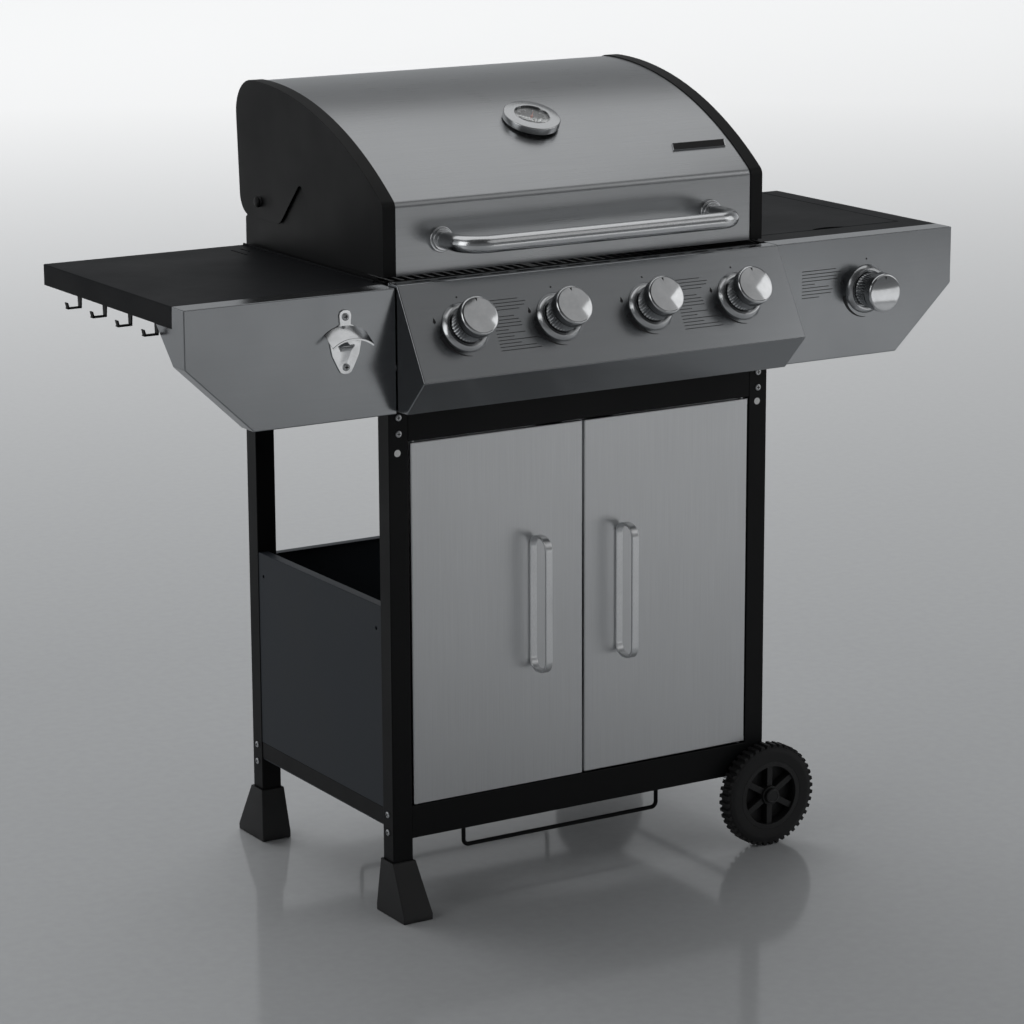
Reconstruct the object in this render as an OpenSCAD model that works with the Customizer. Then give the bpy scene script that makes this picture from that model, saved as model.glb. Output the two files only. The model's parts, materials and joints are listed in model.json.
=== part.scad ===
// Gas barbecue grill on a cart: four main burners under a curved lid,
// a cabinet with two doors, and a side burner in the right-hand table.
// Millimetres. +X is to the right seen from the front, +Y to the rear, +Z up.
// The origin is on the floor, at the middle of the grill's outer box.
// Inside the modules, X runs from the left legs' outer face and
// Y from the front legs' front face; placed() moves them to the origin.

/* [Cart frame] */
// Width over the legs
frame_w = 608; // [590:1:640]
// Depth over the legs
frame_d = 410; // [405:1:430]
// Width of a leg tube, across the grill
leg_w = 30; // [28:1:32]
// Depth of a leg tube, front to back
leg_d = 28; // [26:1:30]
// Wall of the leg tubes and the rails
tube_wall = 1.5; // [1.2:0.1:2]
// Thickness of the folded sheet panels
sheet = 1.2; // [1:0.1:1.5]
// Height of the doors' lower edge
door_bottom = 154; // [150:1:160]
// Height of the doors' upper edge
door_top = 654; // [640:1:656]
// Height of the front bottom rail
bottom_rail_h = 46; // [40:1:48]
// Height of the side panels' upper edge
side_panel_top = 429; // [380:1:470]
// Height of the rear panel's upper edge
rear_panel_top = 420; // [380:1:470]

/* [Feet and wheels] */
// How far a foot spreads in front of and behind its leg
foot_spread = 38; // [30:1:44]
// Height of a foot
foot_h = 76; // [70:1:84]
// Radius of a wheel over its lugs
wheel_r = 75; // [72:1:78]
// Width of a wheel
wheel_w = 27; // [25:1:30]
// Lugs around each tyre
lug_count = 44; // [36:2:48]
// Radius of the wheel axle
axle_r = 5; // [4:0.5:6]

/* [Side tables] */
// Height of the left table's top
table_top = 867; // [860:1:868]
// How much higher the right table's top is
right_rise = 3.5; // [0:0.5:4]
// Depth of the left table's folded edge
table_edge = 28.5; // [24:0.5:32]
// How far each table reaches beyond the legs
table_reach = 304.5; // [280:0.5:320]
// Front edge of the tables, behind the legs' front face
table_front = 12; // [8:0.5:14]
// Back edge of the tables
table_back = 404; // [404:1:412]
// How far the tool hooks reach out past the left table
hook_reach = 18; // [12:1:24]

/* [Front panels] */
// Front plane of the side front panels, ahead of the legs
panel_front = 21.7; // [18:0.1:24]
// Lower edge of the front panels
panel_bottom = 700; // [690:1:704]
// Where the slanted corner of a side front panel starts
panel_corner_z = 790; // [770:1:800]
// Width of that slanted corner
panel_corner_w = 96; // [80:1:110]
// Height of the control panel's top edge
control_top = 871; // [868:1:872]
// How far the control panel's nose stands ahead of the legs
nose_front = 94; // [88:1:98]
// Height of that nose
nose_z = 752; // [745:1:760]

/* [Lid] */
// Front face of the lid skin, behind the legs' front face
lid_front = 14; // [13:1:16]
// Height of the lid's lower front edge
lid_bottom = 875; // [874:1:880]
// Height of the bend where the curved top begins
lid_bend = 970; // [960:1:975]
// Radius of the curved top
lid_r = 570; // [560:1:585]
// Height of the lid's highest line, on the end caps
lid_high = 1098.5; // [1090:0.5:1105]
// Back face of the lid skin, below its rear corner
lid_back = 423; // [421:1:425]
// Radius of the lid's rear corner
lid_corner_r = 46; // [40:1:50]
// Width of the black end caps
cap_w = 19.4; // [16:0.1:22]
// Distance of the hinge bolts behind the legs' front face
hinge_y = 358; // [355:1:362]
// Height of the hinge bolts
hinge_z = 932.5; // [930:0.5:935]
// Radius of the lid handle's tube
handle_r = 11.5; // [9:0.5:12]
// Distance between the two ends of the lid handle
handle_span = 429; // [400:1:450]
// Distance from the lid's face to the handle bar's centre
handle_out = 72; // [60:1:76]

/* [Knobs] */
// Distance between the knobs of the control panel
knob_pitch = 145; // [140:1:148]
// Distance of the knobs down the sloping face
knob_drop = 67.5; // [60:0.5:72]
// Radius of a knob's cap
knob_r = 27.3; // [25:0.1:29]
// Height of a knob above its panel
knob_h = 46; // [42:1:50]
// Radius of the bezel around a knob
bezel_r = 34.5; // [32:0.5:36]
// Travel when a knob is pushed in
push = 3; // [2:0.5:3]

/* [Hidden] */

smooth = 96;                        // facets of a full circle
mid_x = frame_w / 2;                // the grill's middle plane
right_end = frame_w + table_reach;
leg_top = table_top - table_edge;
table2_top = table_top + right_rise;

// control panel section, from its top edge down to the nose and back
face_back = 24.2;                   // top edge ahead of the legs
under_front = 46.5;                 // lower edge ahead of the legs
face_fall = control_top - nose_z;
face_run = nose_front - face_back;
tilt = atan2(face_run, face_fall);  // the face leans back from upright
knob_x0 = mid_x - 1.5 * knob_pitch - 2;
side_knob_x = 763;
side_knob_z = 795;
// rounded front edge of a knob's cap
knob_round = 4;
knob_crown = 1.2;                   // the cap's middle stands this much higher than its edge
face_y = -face_back - knob_drop * sin(tilt);
face_z = control_top - knob_drop * cos(tilt);

// outer box, which sets the origin
x_mid = (right_end - table_reach - hook_reach) / 2;
y_front = face_y - (knob_h - knob_crown - knob_round) * cos(tilt)
    - (knob_r - knob_round) * sin(tilt) - knob_round;
y_mid = (frame_d + foot_spread + y_front) / 2;

wheel_x = frame_w - 2.5;            // the axle sits just inside the legs' outer face
wheel_gap = 2;                      // between a wheel and the leg beside it
axle_gap = 0.05;                    // running clearance on a radius

// firebox
plate_t = 1.5;                      // sheet of the firebox and the tables
box_l = 6;                          // outer face of its left side plate
box_r = frame_w - 6;
box_front = 20;
box_back = 408;
grate_z = leg_top + 1.5;            // the ledge that carries the grates
tub_l = 34;
tub_r = frame_w - 34;
tub_front = 34;
tub_back = 376;
tub_bottom = 708;
burner_z = 785;
burner_r = 11;
pipe_y = -12;
pipe_z = 762;
pipe_r = 8;

// lid section
cap_lift = 1.6;                     // end caps stand this far proud of the skin
lid_top = lid_high - cap_lift;
arc_z = lid_top - lid_r;
arc_y = lid_front + sqrt(pow(lid_r, 2) - pow(lid_bend - arc_z, 2));
corner_y = lid_back - lid_corner_r;
corner_z = arc_z + sqrt(pow(lid_r - lid_corner_r, 2) - pow(arc_y - corner_y, 2));
bend_r = 12;                        // rounding of the front bend
bend_y = lid_front + bend_r;
bend_z = arc_z + sqrt(pow(lid_r - bend_r, 2) - pow(arc_y - bend_y, 2));
back_lean = 3.3;                    // the back leans in towards its lower edge
skin_back_z = 986;                  // the skin's lower edge at the rear, above the vent
arc_from = 180 - acos((arc_y - bend_y) / (lid_r - bend_r));
arc_to = 90 + asin((arc_y - corner_y) / (lid_r - lid_corner_r));
lid_l = 2.4;
thermo_y = 135;
badge_y = 62;
badge_x = 532;

// doors
door_l = 33;
door_r = frame_w - 33;
door_gap = 3;
door_t = 18;
pivot_in = 6;                       // the door pivots, in from the door's corner
pin_r = 2.5;

// side burner
lid2_l = 638;
lid2_r = 878;
lid2_front = 60;
lid2_back = 397;
lid2_gap = 1.5;
lid2_pivot_y = lid2_back - 4;
lid2_pivot_z = table2_top - 4.5;
burner2_x = (lid2_l + lid2_r) / 2;
burner2_y = 240;

module placed() {
    translate([-x_mid, -y_mid, 0]) children();
}

// a flat outline in (Y, Z), extruded to the right from x by len
module along_x(x, len) {
    translate([x, 0, 0]) rotate([90, 0, 90]) linear_extrude(len) children();
}

// a flat outline in (X, Z), extruded to the rear from y by len
module along_y(y, len) {
    translate([0, y + len, 0]) rotate([90, 0, 0]) linear_extrude(len) children();
}

// a box given by its low and high corners
module block(low, high) {
    translate(low) cube(high - low);
}

// a round bar from a to b, along one axis
module bar_x(x0, x1, y, z, r) {
    translate([x0, y, z]) rotate([0, 90, 0]) cylinder(h = x1 - x0, r = r, $fn = smooth);
}
module bar_y(x, y0, y1, z, r) {
    translate([x, y0, z]) rotate([-90, 0, 0]) cylinder(h = y1 - y0, r = r, $fn = smooth);
}
module bar_z(x, y, z0, z1, r) {
    translate([x, y, z0]) cylinder(h = z1 - z0, r = r, $fn = smooth);
}

module mirror_copy() {
    children();
    translate([frame_w, 0, 0]) mirror([1, 0, 0]) children();
}

// the knob axes: z runs out of the panel, y = 0 is its surface
module at_knob(i) {
    if (i < 5)
        translate([knob_x0 + (i - 1) * knob_pitch, face_y, face_z]) rotate([90 - tilt, 0, 0])
            children();
    else
        translate([side_knob_x, -panel_front, side_knob_z]) rotate([90, 0, 0]) children();
}

function arc(cy, cz, r, from, to, n) =
    [for (i = [0:n]) let (a = from + (to - from) * i / n) [cy + r * cos(a), cz + r * sin(a)]];

// the lid's back face at height z, shrunk by t
function back_at(z, t) = corner_y + (lid_corner_r - t) / cos(back_lean)
    - (corner_z - z) * tan(back_lean);

// outline of the lid from its lower front edge over the top to the rear,
// shrunk by t
function lid_curve(t, front_low) = concat(
    [[lid_front + t, front_low]],
    arc(bend_y, bend_z, bend_r - t, 180, arc_from, 5),
    arc(arc_y, arc_z, lid_r - t, arc_from, arc_to, 36),
    arc(corner_y, corner_z, lid_corner_r - t, arc_to, -back_lean, 10)
);
function lid_line(t, front_low, back_low) =
    concat(lid_curve(t, front_low), [[back_at(back_low, t), back_low]]);

function lid_height(y) = arc_z + sqrt(pow(lid_r, 2) - pow(arc_y - y, 2));
function lid_slope(y) = asin((arc_y - y) / lid_r);

// ---------------------------------------------------------------- cart

module hollow_post(x, y, z0, z1) {
    difference() {
        block([x, y, z0], [x + leg_w, y + leg_d, z1]);
        block([x + tube_wall, y + tube_wall, z0 - 1],
              [x + leg_w - tube_wall, y + leg_d - tube_wall, z1 + 1]);
    }
}

module hollow_rail(low, high, axis) {
    t = tube_wall;
    open = axis == "x" ? [-1, t, t] : [t, -1, t];
    difference() {
        block(low, high);
        block(low + open, high - open);
    }
}

screw_r = 4.5;
screw_shank = 2.4;
leg_front_screws = [668, 690];
leg_side_screws = [116, 141];
right_leg_low = 92;
foot_floor = 14;

// places of the frame screws in the front and the side faces of the legs
module at_screws() {
    for (x = [leg_w / 2, frame_w - leg_w / 2], z = leg_front_screws)
        translate([x, 0, z]) rotate([90, 0, 0]) children();
    for (y = [leg_d / 2, frame_d - leg_d / 2], z = leg_side_screws) {
        translate([0, y, z]) rotate([0, -90, 0]) children();
        translate([frame_w, y, z]) rotate([0, 90, 0]) children();
    }
}

module legs() {
    back = frame_d - leg_d;
    right = frame_w - leg_w;
    color("#1c1d1f") placed() difference() {
        union() {
            for (y = [0, back]) {
                hollow_post(0, y, foot_floor, leg_top);
                hollow_post(right, y, right_leg_low, leg_top);
            }
        }
        at_screws() translate([0, 0, -tube_wall - 1]) cylinder(h = 4, r = 2.6, $fn = 32);
    }
}

module one_foot(y, lean) {
    wall = 3;
    base_l = -6.5;
    base_r = leg_w + 9;
    near = lean > 0 ? -foot_spread : -10;
    far = lean > 0 ? leg_d + 10 : leg_d + foot_spread;
    difference() {
        hull() {
            block([-wall, y - wall, foot_h - 12], [leg_w + wall, y + leg_d + wall, foot_h]);
            block([base_l, y + near, 0], [base_r, y + far, 9]);
        }
        block([-0.2, y - 0.2, foot_floor], [leg_w + 0.2, y + leg_d + 0.2, foot_h + 1]);
    }
}

module feet() {
    color("#232427") placed() {
        one_foot(0, 1);
        one_foot(frame_d - leg_d, -1);
    }
}

module axle_carriers() {
    x0 = frame_w - leg_w;
    plug = tube_wall + 0.3;
    color("#232427") placed() for (y = [0, frame_d - leg_d]) difference() {
        union() {
            block([x0, y, wheel_r], [frame_w, y + leg_d, right_leg_low]);
            block([x0 + plug, y + plug, right_leg_low - 1],
                  [frame_w - plug, y + leg_d - plug, right_leg_low + 16]);
            bar_y(wheel_x, y, y + leg_d, wheel_r, 14);
        }
        bar_y(wheel_x, y - 1, y + leg_d + 1, wheel_r, axle_r + axle_gap);
    }
}

axle_end = wheel_gap + wheel_w + 1;

module wheel_axle() {
    color("silver") placed()
        bar_y(wheel_x, -axle_end, frame_d + axle_end, wheel_r, axle_r);
}

module axle_caps() {
    color("#232427") placed() for (side = [0, 1]) {
        y = side == 0 ? -axle_end - 3.5 : frame_d + axle_end - 0.5;
        difference() {
            bar_y(wheel_x, y, y + 4, wheel_r, 11);
            bar_y(wheel_x, -axle_end, frame_d + axle_end, wheel_r, axle_r);
        }
    }
}

top_rail_low = door_top + 2;
top_rail_high = panel_bottom + 2.8;
bottom_rail_low = door_bottom - 2 - bottom_rail_h;
floor_z = 122;                      // underside of the bottom shelf
floor_t = 2;
lower_rail_top = 148;

module door_pin_holes() {
    for (x = [door_l + pivot_in, door_r - pivot_in])
        bar_z(x, pivot_in, bottom_rail_low + 30, top_rail_low + 10, pin_r + axle_gap);
}

module upper_rails() {
    x0 = leg_w;
    x1 = frame_w - leg_w;
    color("#1c1d1f") placed() {
        difference() {
            hollow_rail([x0, 0, top_rail_low], [x1, 20, top_rail_high], "x");
            door_pin_holes();
        }
        hollow_rail([x0, frame_d - 22, 730], [x1, frame_d - 2, 770], "x");
    }
}

module lower_rails() {
    x0 = leg_w;
    x1 = frame_w - leg_w;
    y0 = leg_d;
    y1 = frame_d - leg_d;
    low = floor_z + floor_t;
    high = lower_rail_top;
    color("#1c1d1f") placed() {
        difference() {
            hollow_rail([x0, 0, bottom_rail_low], [x1, 20, door_bottom - 2], "x");
            door_pin_holes();
        }
        hollow_rail([x0, frame_d - 21, low], [x1, frame_d - 1, high], "x");
        mirror_copy() hollow_rail([1, y0, low], [21, y1, high], "y");
    }
}

module side_panels() {
    fold = 14;
    low = lower_rail_top;
    color("#2c3035") placed() mirror_copy() {
        difference() {
            union() {
                block([1, leg_d, low], [1 + sheet, frame_d - leg_d, side_panel_top]);
                block([1, leg_d, side_panel_top - sheet],
                      [1 + fold, frame_d - leg_d, side_panel_top]);
            }
            for (y = [leg_d + 14, frame_d - leg_d - 14])
                translate([-1, y, side_panel_top - 33]) rotate([0, 90, 0])
                    cylinder(h = 5, r = 2.6, $fn = 32);
        }
    }
}

module rear_panel() {
    fold = 14;
    low = lower_rail_top;
    y = frame_d - 2;
    color("#2c3035") placed() {
        block([leg_w, y - sheet, low], [frame_w - leg_w, y, rear_panel_top]);
        block([leg_w, y - fold, rear_panel_top - sheet],
              [frame_w - leg_w, y, rear_panel_top]);
    }
}

// hole in the bottom shelf, in which the gas bottle hangs
bottle_y = 205;
bottle_r = 155;

module bottom_shelf() {
    color("#2c3035") placed() difference() {
        block([2, 21, floor_z], [frame_w - 2, frame_d - 2, floor_z + floor_t]);
        for (x = [0, frame_w - leg_w], y = [0, frame_d - leg_d])
            block([x - 1, y - 1, 0], [x + leg_w + 1, y + leg_d + 1, 200]);
        translate([mid_x, bottle_y, floor_z - 1]) cylinder(h = 5, r = bottle_r, $fn = smooth);
    }
}

module bottle_wires() {
    wire = 3;
    low = 60;
    high = floor_z;
    reach = 160;
    bend = 8;
    color("#1c1d1f") placed() for (y = [58, bottle_y, 352]) {
        bar_x(mid_x - reach + bend, mid_x + reach - bend, y, low, wire);
        for (side = [-1, 1]) {
            bar_z(mid_x + side * reach, y, low + bend, high, wire);
            translate([mid_x + side * (reach - bend), y, low + bend]) rotate([90, 0, 0])
                rotate([0, 0, side > 0 ? -90 : 180])
                    rotate_extrude(angle = 90, $fn = smooth) translate([bend, 0])
                        circle(r = wire, $fn = 32);
        }
    }
}

tray_low = 676;
tray_high = 700;
tray_l = 70;
tray_r = frame_w - 70;

module tray_runners() {
    lip = 14;
    gap = 0.3;
    low = tray_low - gap - 2;
    color("silver") placed() mirror_copy() {
        block([tray_l - 2 - gap, 20, low], [tray_l - gap, frame_d - 22, tub_bottom]);
        block([tray_l - 1 - gap, 20, low], [tray_l + lip, frame_d - 22, tray_low - gap]);
    }
}

module drip_tray() {
    t = 1.2;
    y1 = frame_d - 20;
    color("silver") placed() {
        difference() {
            block([tray_l, 26, tray_low], [tray_r, y1, tray_high]);
            block([tray_l + t, 26 + t, tray_low + t], [tray_r - t, y1 - t, tray_high + 1]);
        }
        // finger lip at the rear
        block([mid_x - 60, y1 - 1, tray_low], [mid_x + 60, y1 + 14, tray_low + t]);
    }
}

// ------------------------------------------------------------- firebox

ear_r = 20;                         // size of the ears that hold the hinge bolts
tent_low = 803;                     // lower edges of the heat tents
rack_z = 956;                       // warming rack
rack_bar_r = 2.5;
rack_bars = [255, 385];             // its two long bars

module side_plate_outline() {
    low = grate_z - plate_t;
    polygon([[box_front, low], [box_back, low], [box_back, 905],
             [hinge_y + ear_r, hinge_z], [hinge_y + 14, hinge_z + 14],
             [hinge_y, hinge_z + ear_r], [hinge_y - 14, hinge_z + 14],
             [hinge_y - 60, 945], [262, 985], [215, 985], [120, 880], [box_front, 868]]);
}

module firebox() {
    t = plate_t;
    color("#17181a") placed() difference() {
        union() {
            // lower tub
            difference() {
                block([tub_l, tub_front, tub_bottom], [tub_r, tub_back, grate_z]);
                block([tub_l + t, tub_front + t, tub_bottom + t],
                      [tub_r - t, tub_back - t, grate_z + 1]);
            }
            // ledge around the tub, which carries the grates
            difference() {
                block([box_l, box_front, grate_z - t], [box_r, box_back, grate_z]);
                block([tub_l + t, tub_front + t, grate_z - 5],
                      [tub_r - t, tub_back - t, grate_z + 5]);
            }
            mirror_copy() along_x(box_l, t) side_plate_outline();
            block([box_l, box_front, grate_z - t], [box_r, box_front + t, 868]);
            block([box_l, box_back - t, grate_z - t], [box_r, box_back, 905]);
            // brackets that carry the warming rack
            mirror_copy() for (y = rack_bars) {
                top = rack_z - rack_bar_r;
                block([box_l + t - 0.2, y - 6, 885], [box_l + 2 * t, y + 6, top]);
                block([box_l + t, y - 6, top - t], [box_l + 14, y + 6, top]);
            }
            // strips that carry the heat tents
            for (y = [tub_front + t - 0.5, tub_back - t - 7.5])
                block([tub_l + t - 0.5, y, tent_low - 2.7], [tub_r - t + 0.5, y + 8, tent_low - 1.2]);
        }
        // drain, burner inlets and hinge bolts
        block([mid_x - 45, 160, tub_bottom - 1], [mid_x + 45, 250, tub_bottom + t + 1]);
        for (i = [0:3])
            bar_y(knob_x0 + i * knob_pitch, tub_front - 1, tub_front + 5, burner_z,
                  burner_r + 0.6);
        bar_x(-10, frame_w + 10, hinge_y, hinge_z, 4 + axle_gap);
    }
}

module lid_hinge_bolts() {
    color("#232427") placed() mirror_copy() {
        bar_x(-2, 1.4, hinge_y, hinge_z, 7.5);
        bar_x(0, box_l + plate_t + 5, hinge_y, hinge_z, 4);
        bar_x(box_l + plate_t, box_l + plate_t + 4, hinge_y, hinge_z, 7);
    }
}

module main_burners() {
    color("#8d8f91") placed() for (i = [0:3]) {
        x = knob_x0 + i * knob_pitch;
        difference() {
            bar_y(x, 4, tub_back - 14, burner_z, burner_r);
            bar_y(x, 3, tub_back - 18, burner_z, burner_r - 1.2);
            // air intake behind the mouth
            block([x - 4, 10, burner_z - burner_r - 1], [x + 4, 24, burner_z - 5]);
            // flame ports along both shoulders
            for (k = [0:15], side = [-1, 1])
                translate([x, 60 + k * 18, burner_z]) rotate([0, side * 50, 0])
                    translate([0, 0, 8]) cylinder(h = 6, r = 1.6, $fn = 24);
        }
        bar_y(x, tub_back - 14, tub_back - plate_t, burner_z, 3);
    }
}

module heat_tents() {
    half = 48;
    low = tent_low;
    rise = 22;
    t = 1.2;
    color("#8d8f91") placed() for (i = [0:3]) {
        x = knob_x0 + i * knob_pitch;
        along_y(tub_front + plate_t + 0.5, tub_back - tub_front - 2 * plate_t - 1)
            polygon([[x - half, low], [x - 6, low + rise], [x + 6, low + rise], [x + half, low],
                     [x + half - 1, low - t], [x + 6, low + rise - 1.3],
                     [x - 6, low + rise - 1.3], [x - half + 1, low - t]]);
    }
}

module one_grate(x0, x1) {
    y0 = 24;
    y1 = 402;
    h = 8;
    bars = 17;
    rod = 5;
    z = grate_z;
    difference() {
        block([x0, y0, z], [x1, y1, z + h]);
        block([x0 + rod + 1, y0 + rod + 1, z - 1], [x1 - rod - 1, y1 - rod - 1, z + h + 1]);
    }
    step = (x1 - x0 - rod) / (bars + 1);
    for (k = [1:bars])
        block([x0 + k * step, y0 + 1, z + 1.5], [x0 + k * step + rod, y1 - 1, z + h]);
    for (y = [y0 + 120, y0 + 250])
        block([x0 + 1, y, z], [x1 - 1, y + 7, z + 5]);
}

module cooking_grates() {
    color("#26272a") placed() {
        one_grate(box_l + 8, mid_x - 0.5);
        one_grate(mid_x + 0.5, box_r - 8);
    }
}

module warming_rack() {
    x0 = box_l + 9;
    x1 = box_r - 9;
    y0 = rack_bars[0];
    y1 = rack_bars[1];
    color("#b9bbbd") placed() {
        for (y = rack_bars) bar_x(x0, x1, y, rack_z, rack_bar_r);
        for (k = [0:20]) {
            x = x0 + 4 + k * (x1 - x0 - 8) / 20;
            block([x - 1.5, y0, rack_z - 1], [x + 1.5, y1, rack_z + 2.5]);
        }
    }
}

// ------------------------------------------------------------------ gas

inlet_r = 6.58;
inlet_len = 14;
inlet_x = -20;
elbow_r = 9;
hex_y = 4;
hex_len = 10;

module gas_manifold() {
    pipe_end = side_knob_x + 20;
    thread_y = hex_y + hex_len;
    color("#b9bbbd") placed() difference() {
        union() {
            bar_x(inlet_x, pipe_end, pipe_y, pipe_z, pipe_r);
            // elbow to the rear, with a hexagon and the thread for the hose's union nut
            bar_y(inlet_x, pipe_y - 8, hex_y + 1, pipe_z, elbow_r);
            translate([inlet_x, hex_y, pipe_z]) rotate([-90, 0, 0])
                cylinder(h = hex_len, r = 9.5, $fn = 6);
            bar_y(inlet_x, thread_y, thread_y + inlet_len, pipe_z, inlet_r);
        }
        bar_x(inlet_x, pipe_end - 3, pipe_y, pipe_z, pipe_r - 1.8);
        bar_y(inlet_x, pipe_y, thread_y + inlet_len + 1, pipe_z, 3.5);
    }
}

plug_r = 6;
stem_r = 4;

module one_valve(i) {
    difference() {
        union() {
            at_knob(i) translate([0, 0, -42]) cylinder(h = 36, r = 10, $fn = smooth);
            x = i < 5 ? knob_x0 + (i - 1) * knob_pitch : side_knob_x;
            z = i < 5 ? burner_z : side_knob_z;
            // jet towards the burner tube
            bar_y(x, i < 5 ? -27 : 4, i < 5 ? 0 : 22, z, 5);
            // inlet leg down to the manifold
            bar_z(x, pipe_y, pipe_z, z, 6);
        }
        at_knob(i) translate([0, 0, -38.2]) cylinder(h = 40, r = plug_r + axle_gap, $fn = smooth);
        bar_x(inlet_x, side_knob_x + 21, pipe_y, pipe_z, pipe_r);
    }
}

module gas_valves() {
    color("#b08d57") placed() for (i = [1:5]) one_valve(i);
}

// the tapered plug turns with the knob, and the stem slides in it
module valve_plug(i) {
    color("#b08d57") placed() at_knob(i) difference() {
        translate([0, 0, -38]) cylinder(h = 28, r = plug_r, $fn = smooth);
        translate([0, 0, -35]) cylinder(h = 40, r = stem_r + axle_gap, $fn = smooth);
    }
}

module valve_plug_1() valve_plug(1);
module valve_plug_2() valve_plug(2);
module valve_plug_3() valve_plug(3);
module valve_plug_4() valve_plug(4);
module valve_plug_5() valve_plug(5);

module knob(i) {
    skirt_r = knob_r - 2.2;
    wall = 2.4;
    cap_low = knob_h - 16;
    edge = knob_h - knob_crown;
    socket = 20;
    color("silver") placed() at_knob(i) {
        rotate_extrude($fn = smooth) polygon(concat(
            [[skirt_r - wall, push + 1], [skirt_r, push + 1], [skirt_r, cap_low],
             [knob_r, cap_low + 1]],
            arc(knob_r - knob_round, edge - knob_round, knob_round, 0, 90, 6),
            [[knob_r * 0.45, knob_h - 0.2], [0, knob_h], [0, knob_h - 8],
             [stem_r, knob_h - 8], [stem_r, socket], [stem_r + 4, socket],
             [stem_r + 4, edge - wall], [skirt_r - wall, edge - wall]]
        ));
        // the stem, held in the knob's socket
        translate([0, 0, -30]) cylinder(h = knob_h + 22, r = stem_r, $fn = smooth);
    }
}

module knob_1() knob(1);
module knob_2() knob(2);
module knob_3() knob(3);
module knob_4() knob(4);
module knob_5() knob(5);

module knob_bezels() {
    inner = knob_r - 1.3;
    seat = 0.02;                    // keeps the flat ring off the sloping sheet
    color("silver") placed() for (i = [1:5]) at_knob(i) rotate_extrude($fn = smooth) polygon([
        [inner, seat], [bezel_r, seat], [bezel_r, 1.6], [bezel_r - 4.5, 7], [inner, 7]
    ]);
}

// -------------------------------------------------------- front panels

module control_section(t) {
    // outline of the control panel, shrunk by about t
    polygon([
        [-face_back + t * 0.6, control_top - t], [-nose_front + t * 1.15, nose_z - t * 0.2],
        [-under_front + t * 0.4, panel_bottom + 3 + t], [8 + 2 * t, panel_bottom + 3 + t],
        [8 + 2 * t, control_top - t]
    ]);
}

module control_panel() {
    x0 = 1.5;
    x1 = frame_w - 1.5;
    t = sheet;
    color("#9a9da0") placed() difference() {
        along_x(x0, x1 - x0) polygon([
            [-face_back, control_top], [-nose_front, nose_z], [-under_front, panel_bottom + 3],
            [-2, panel_bottom + 3], [-2, control_top]
        ]);
        along_x(x0 + t, x1 - x0 - 2 * t) control_section(t);
        for (i = [1:4])
            at_knob(i) translate([0, 0, -5]) cylinder(h = 10, r = stem_r + 2, $fn = 48);
        bar_x(-5, frame_w + 5, pipe_y, pipe_z, pipe_r);
        // cooling slots in the top flange, in front of the lid
        for (k = [0:13])
            block([30 + k * 40, -16, control_top - 3], [58 + k * 40, -10, control_top + 1]);
    }
}

module left_front_panel() {
    t = sheet;
    depth = panel_front + table_front;
    y = -panel_front;
    x0 = -table_reach;
    x1 = 0;
    top = table_top;
    color("#9a9da0") placed() difference() {
        union() {
            difference() {
                along_y(y, depth) polygon([
                    [x0, top], [x0, panel_corner_z], [x0 + panel_corner_w, panel_bottom],
                    [x1, panel_bottom], [x1, top]
                ]);
                along_y(y + t, depth) polygon([
                    [x0 + t, top - t], [x0 + t, panel_corner_z + 0.5],
                    [x0 + panel_corner_w + 0.5, panel_bottom + t],
                    [x1 + 1, panel_bottom + t], [x1 + 1, top - t]
                ]);
            }
            // gusset under the table's end
            along_x(x0, t) polygon([
                [table_front - 1, leg_top - 0.5], [58, leg_top - 0.5],
                [table_front - 1, panel_corner_z]
            ]);
        }
        for (z = opener_screws)
            translate([opener_x, 0, z]) rotate([90, 0, 0]) cylinder(h = 40, r = 2.2, $fn = 32);
    }
}

module right_front_panel() {
    t = sheet;
    depth = panel_front + table_front;
    y = -panel_front;
    x0 = frame_w;
    x1 = right_end;
    top = table2_top;
    color("#9a9da0") placed() difference() {
        union() {
            difference() {
                along_y(y, depth) polygon([
                    [x1, top], [x1, panel_corner_z], [x1 - panel_corner_w, panel_bottom],
                    [x0, panel_bottom], [x0, top]
                ]);
                along_y(y + t, depth) polygon([
                    [x1 - t, top - t], [x1 - t, panel_corner_z + 0.5],
                    [x1 - panel_corner_w - 0.5, panel_bottom + t],
                    [x0 - 1, panel_bottom + t], [x0 - 1, top - t]
                ]);
            }
            along_x(x1 - t, t) polygon([
                [table_front - 1, leg_top - 0.5], [58, leg_top - 0.5],
                [table_front - 1, panel_corner_z]
            ]);
        }
        at_knob(5) translate([0, 0, -5]) cylinder(h = 10, r = stem_r + 2, $fn = 48);
    }
}

opener_x = -74.5;
opener_screws = [771, 837];

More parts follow.
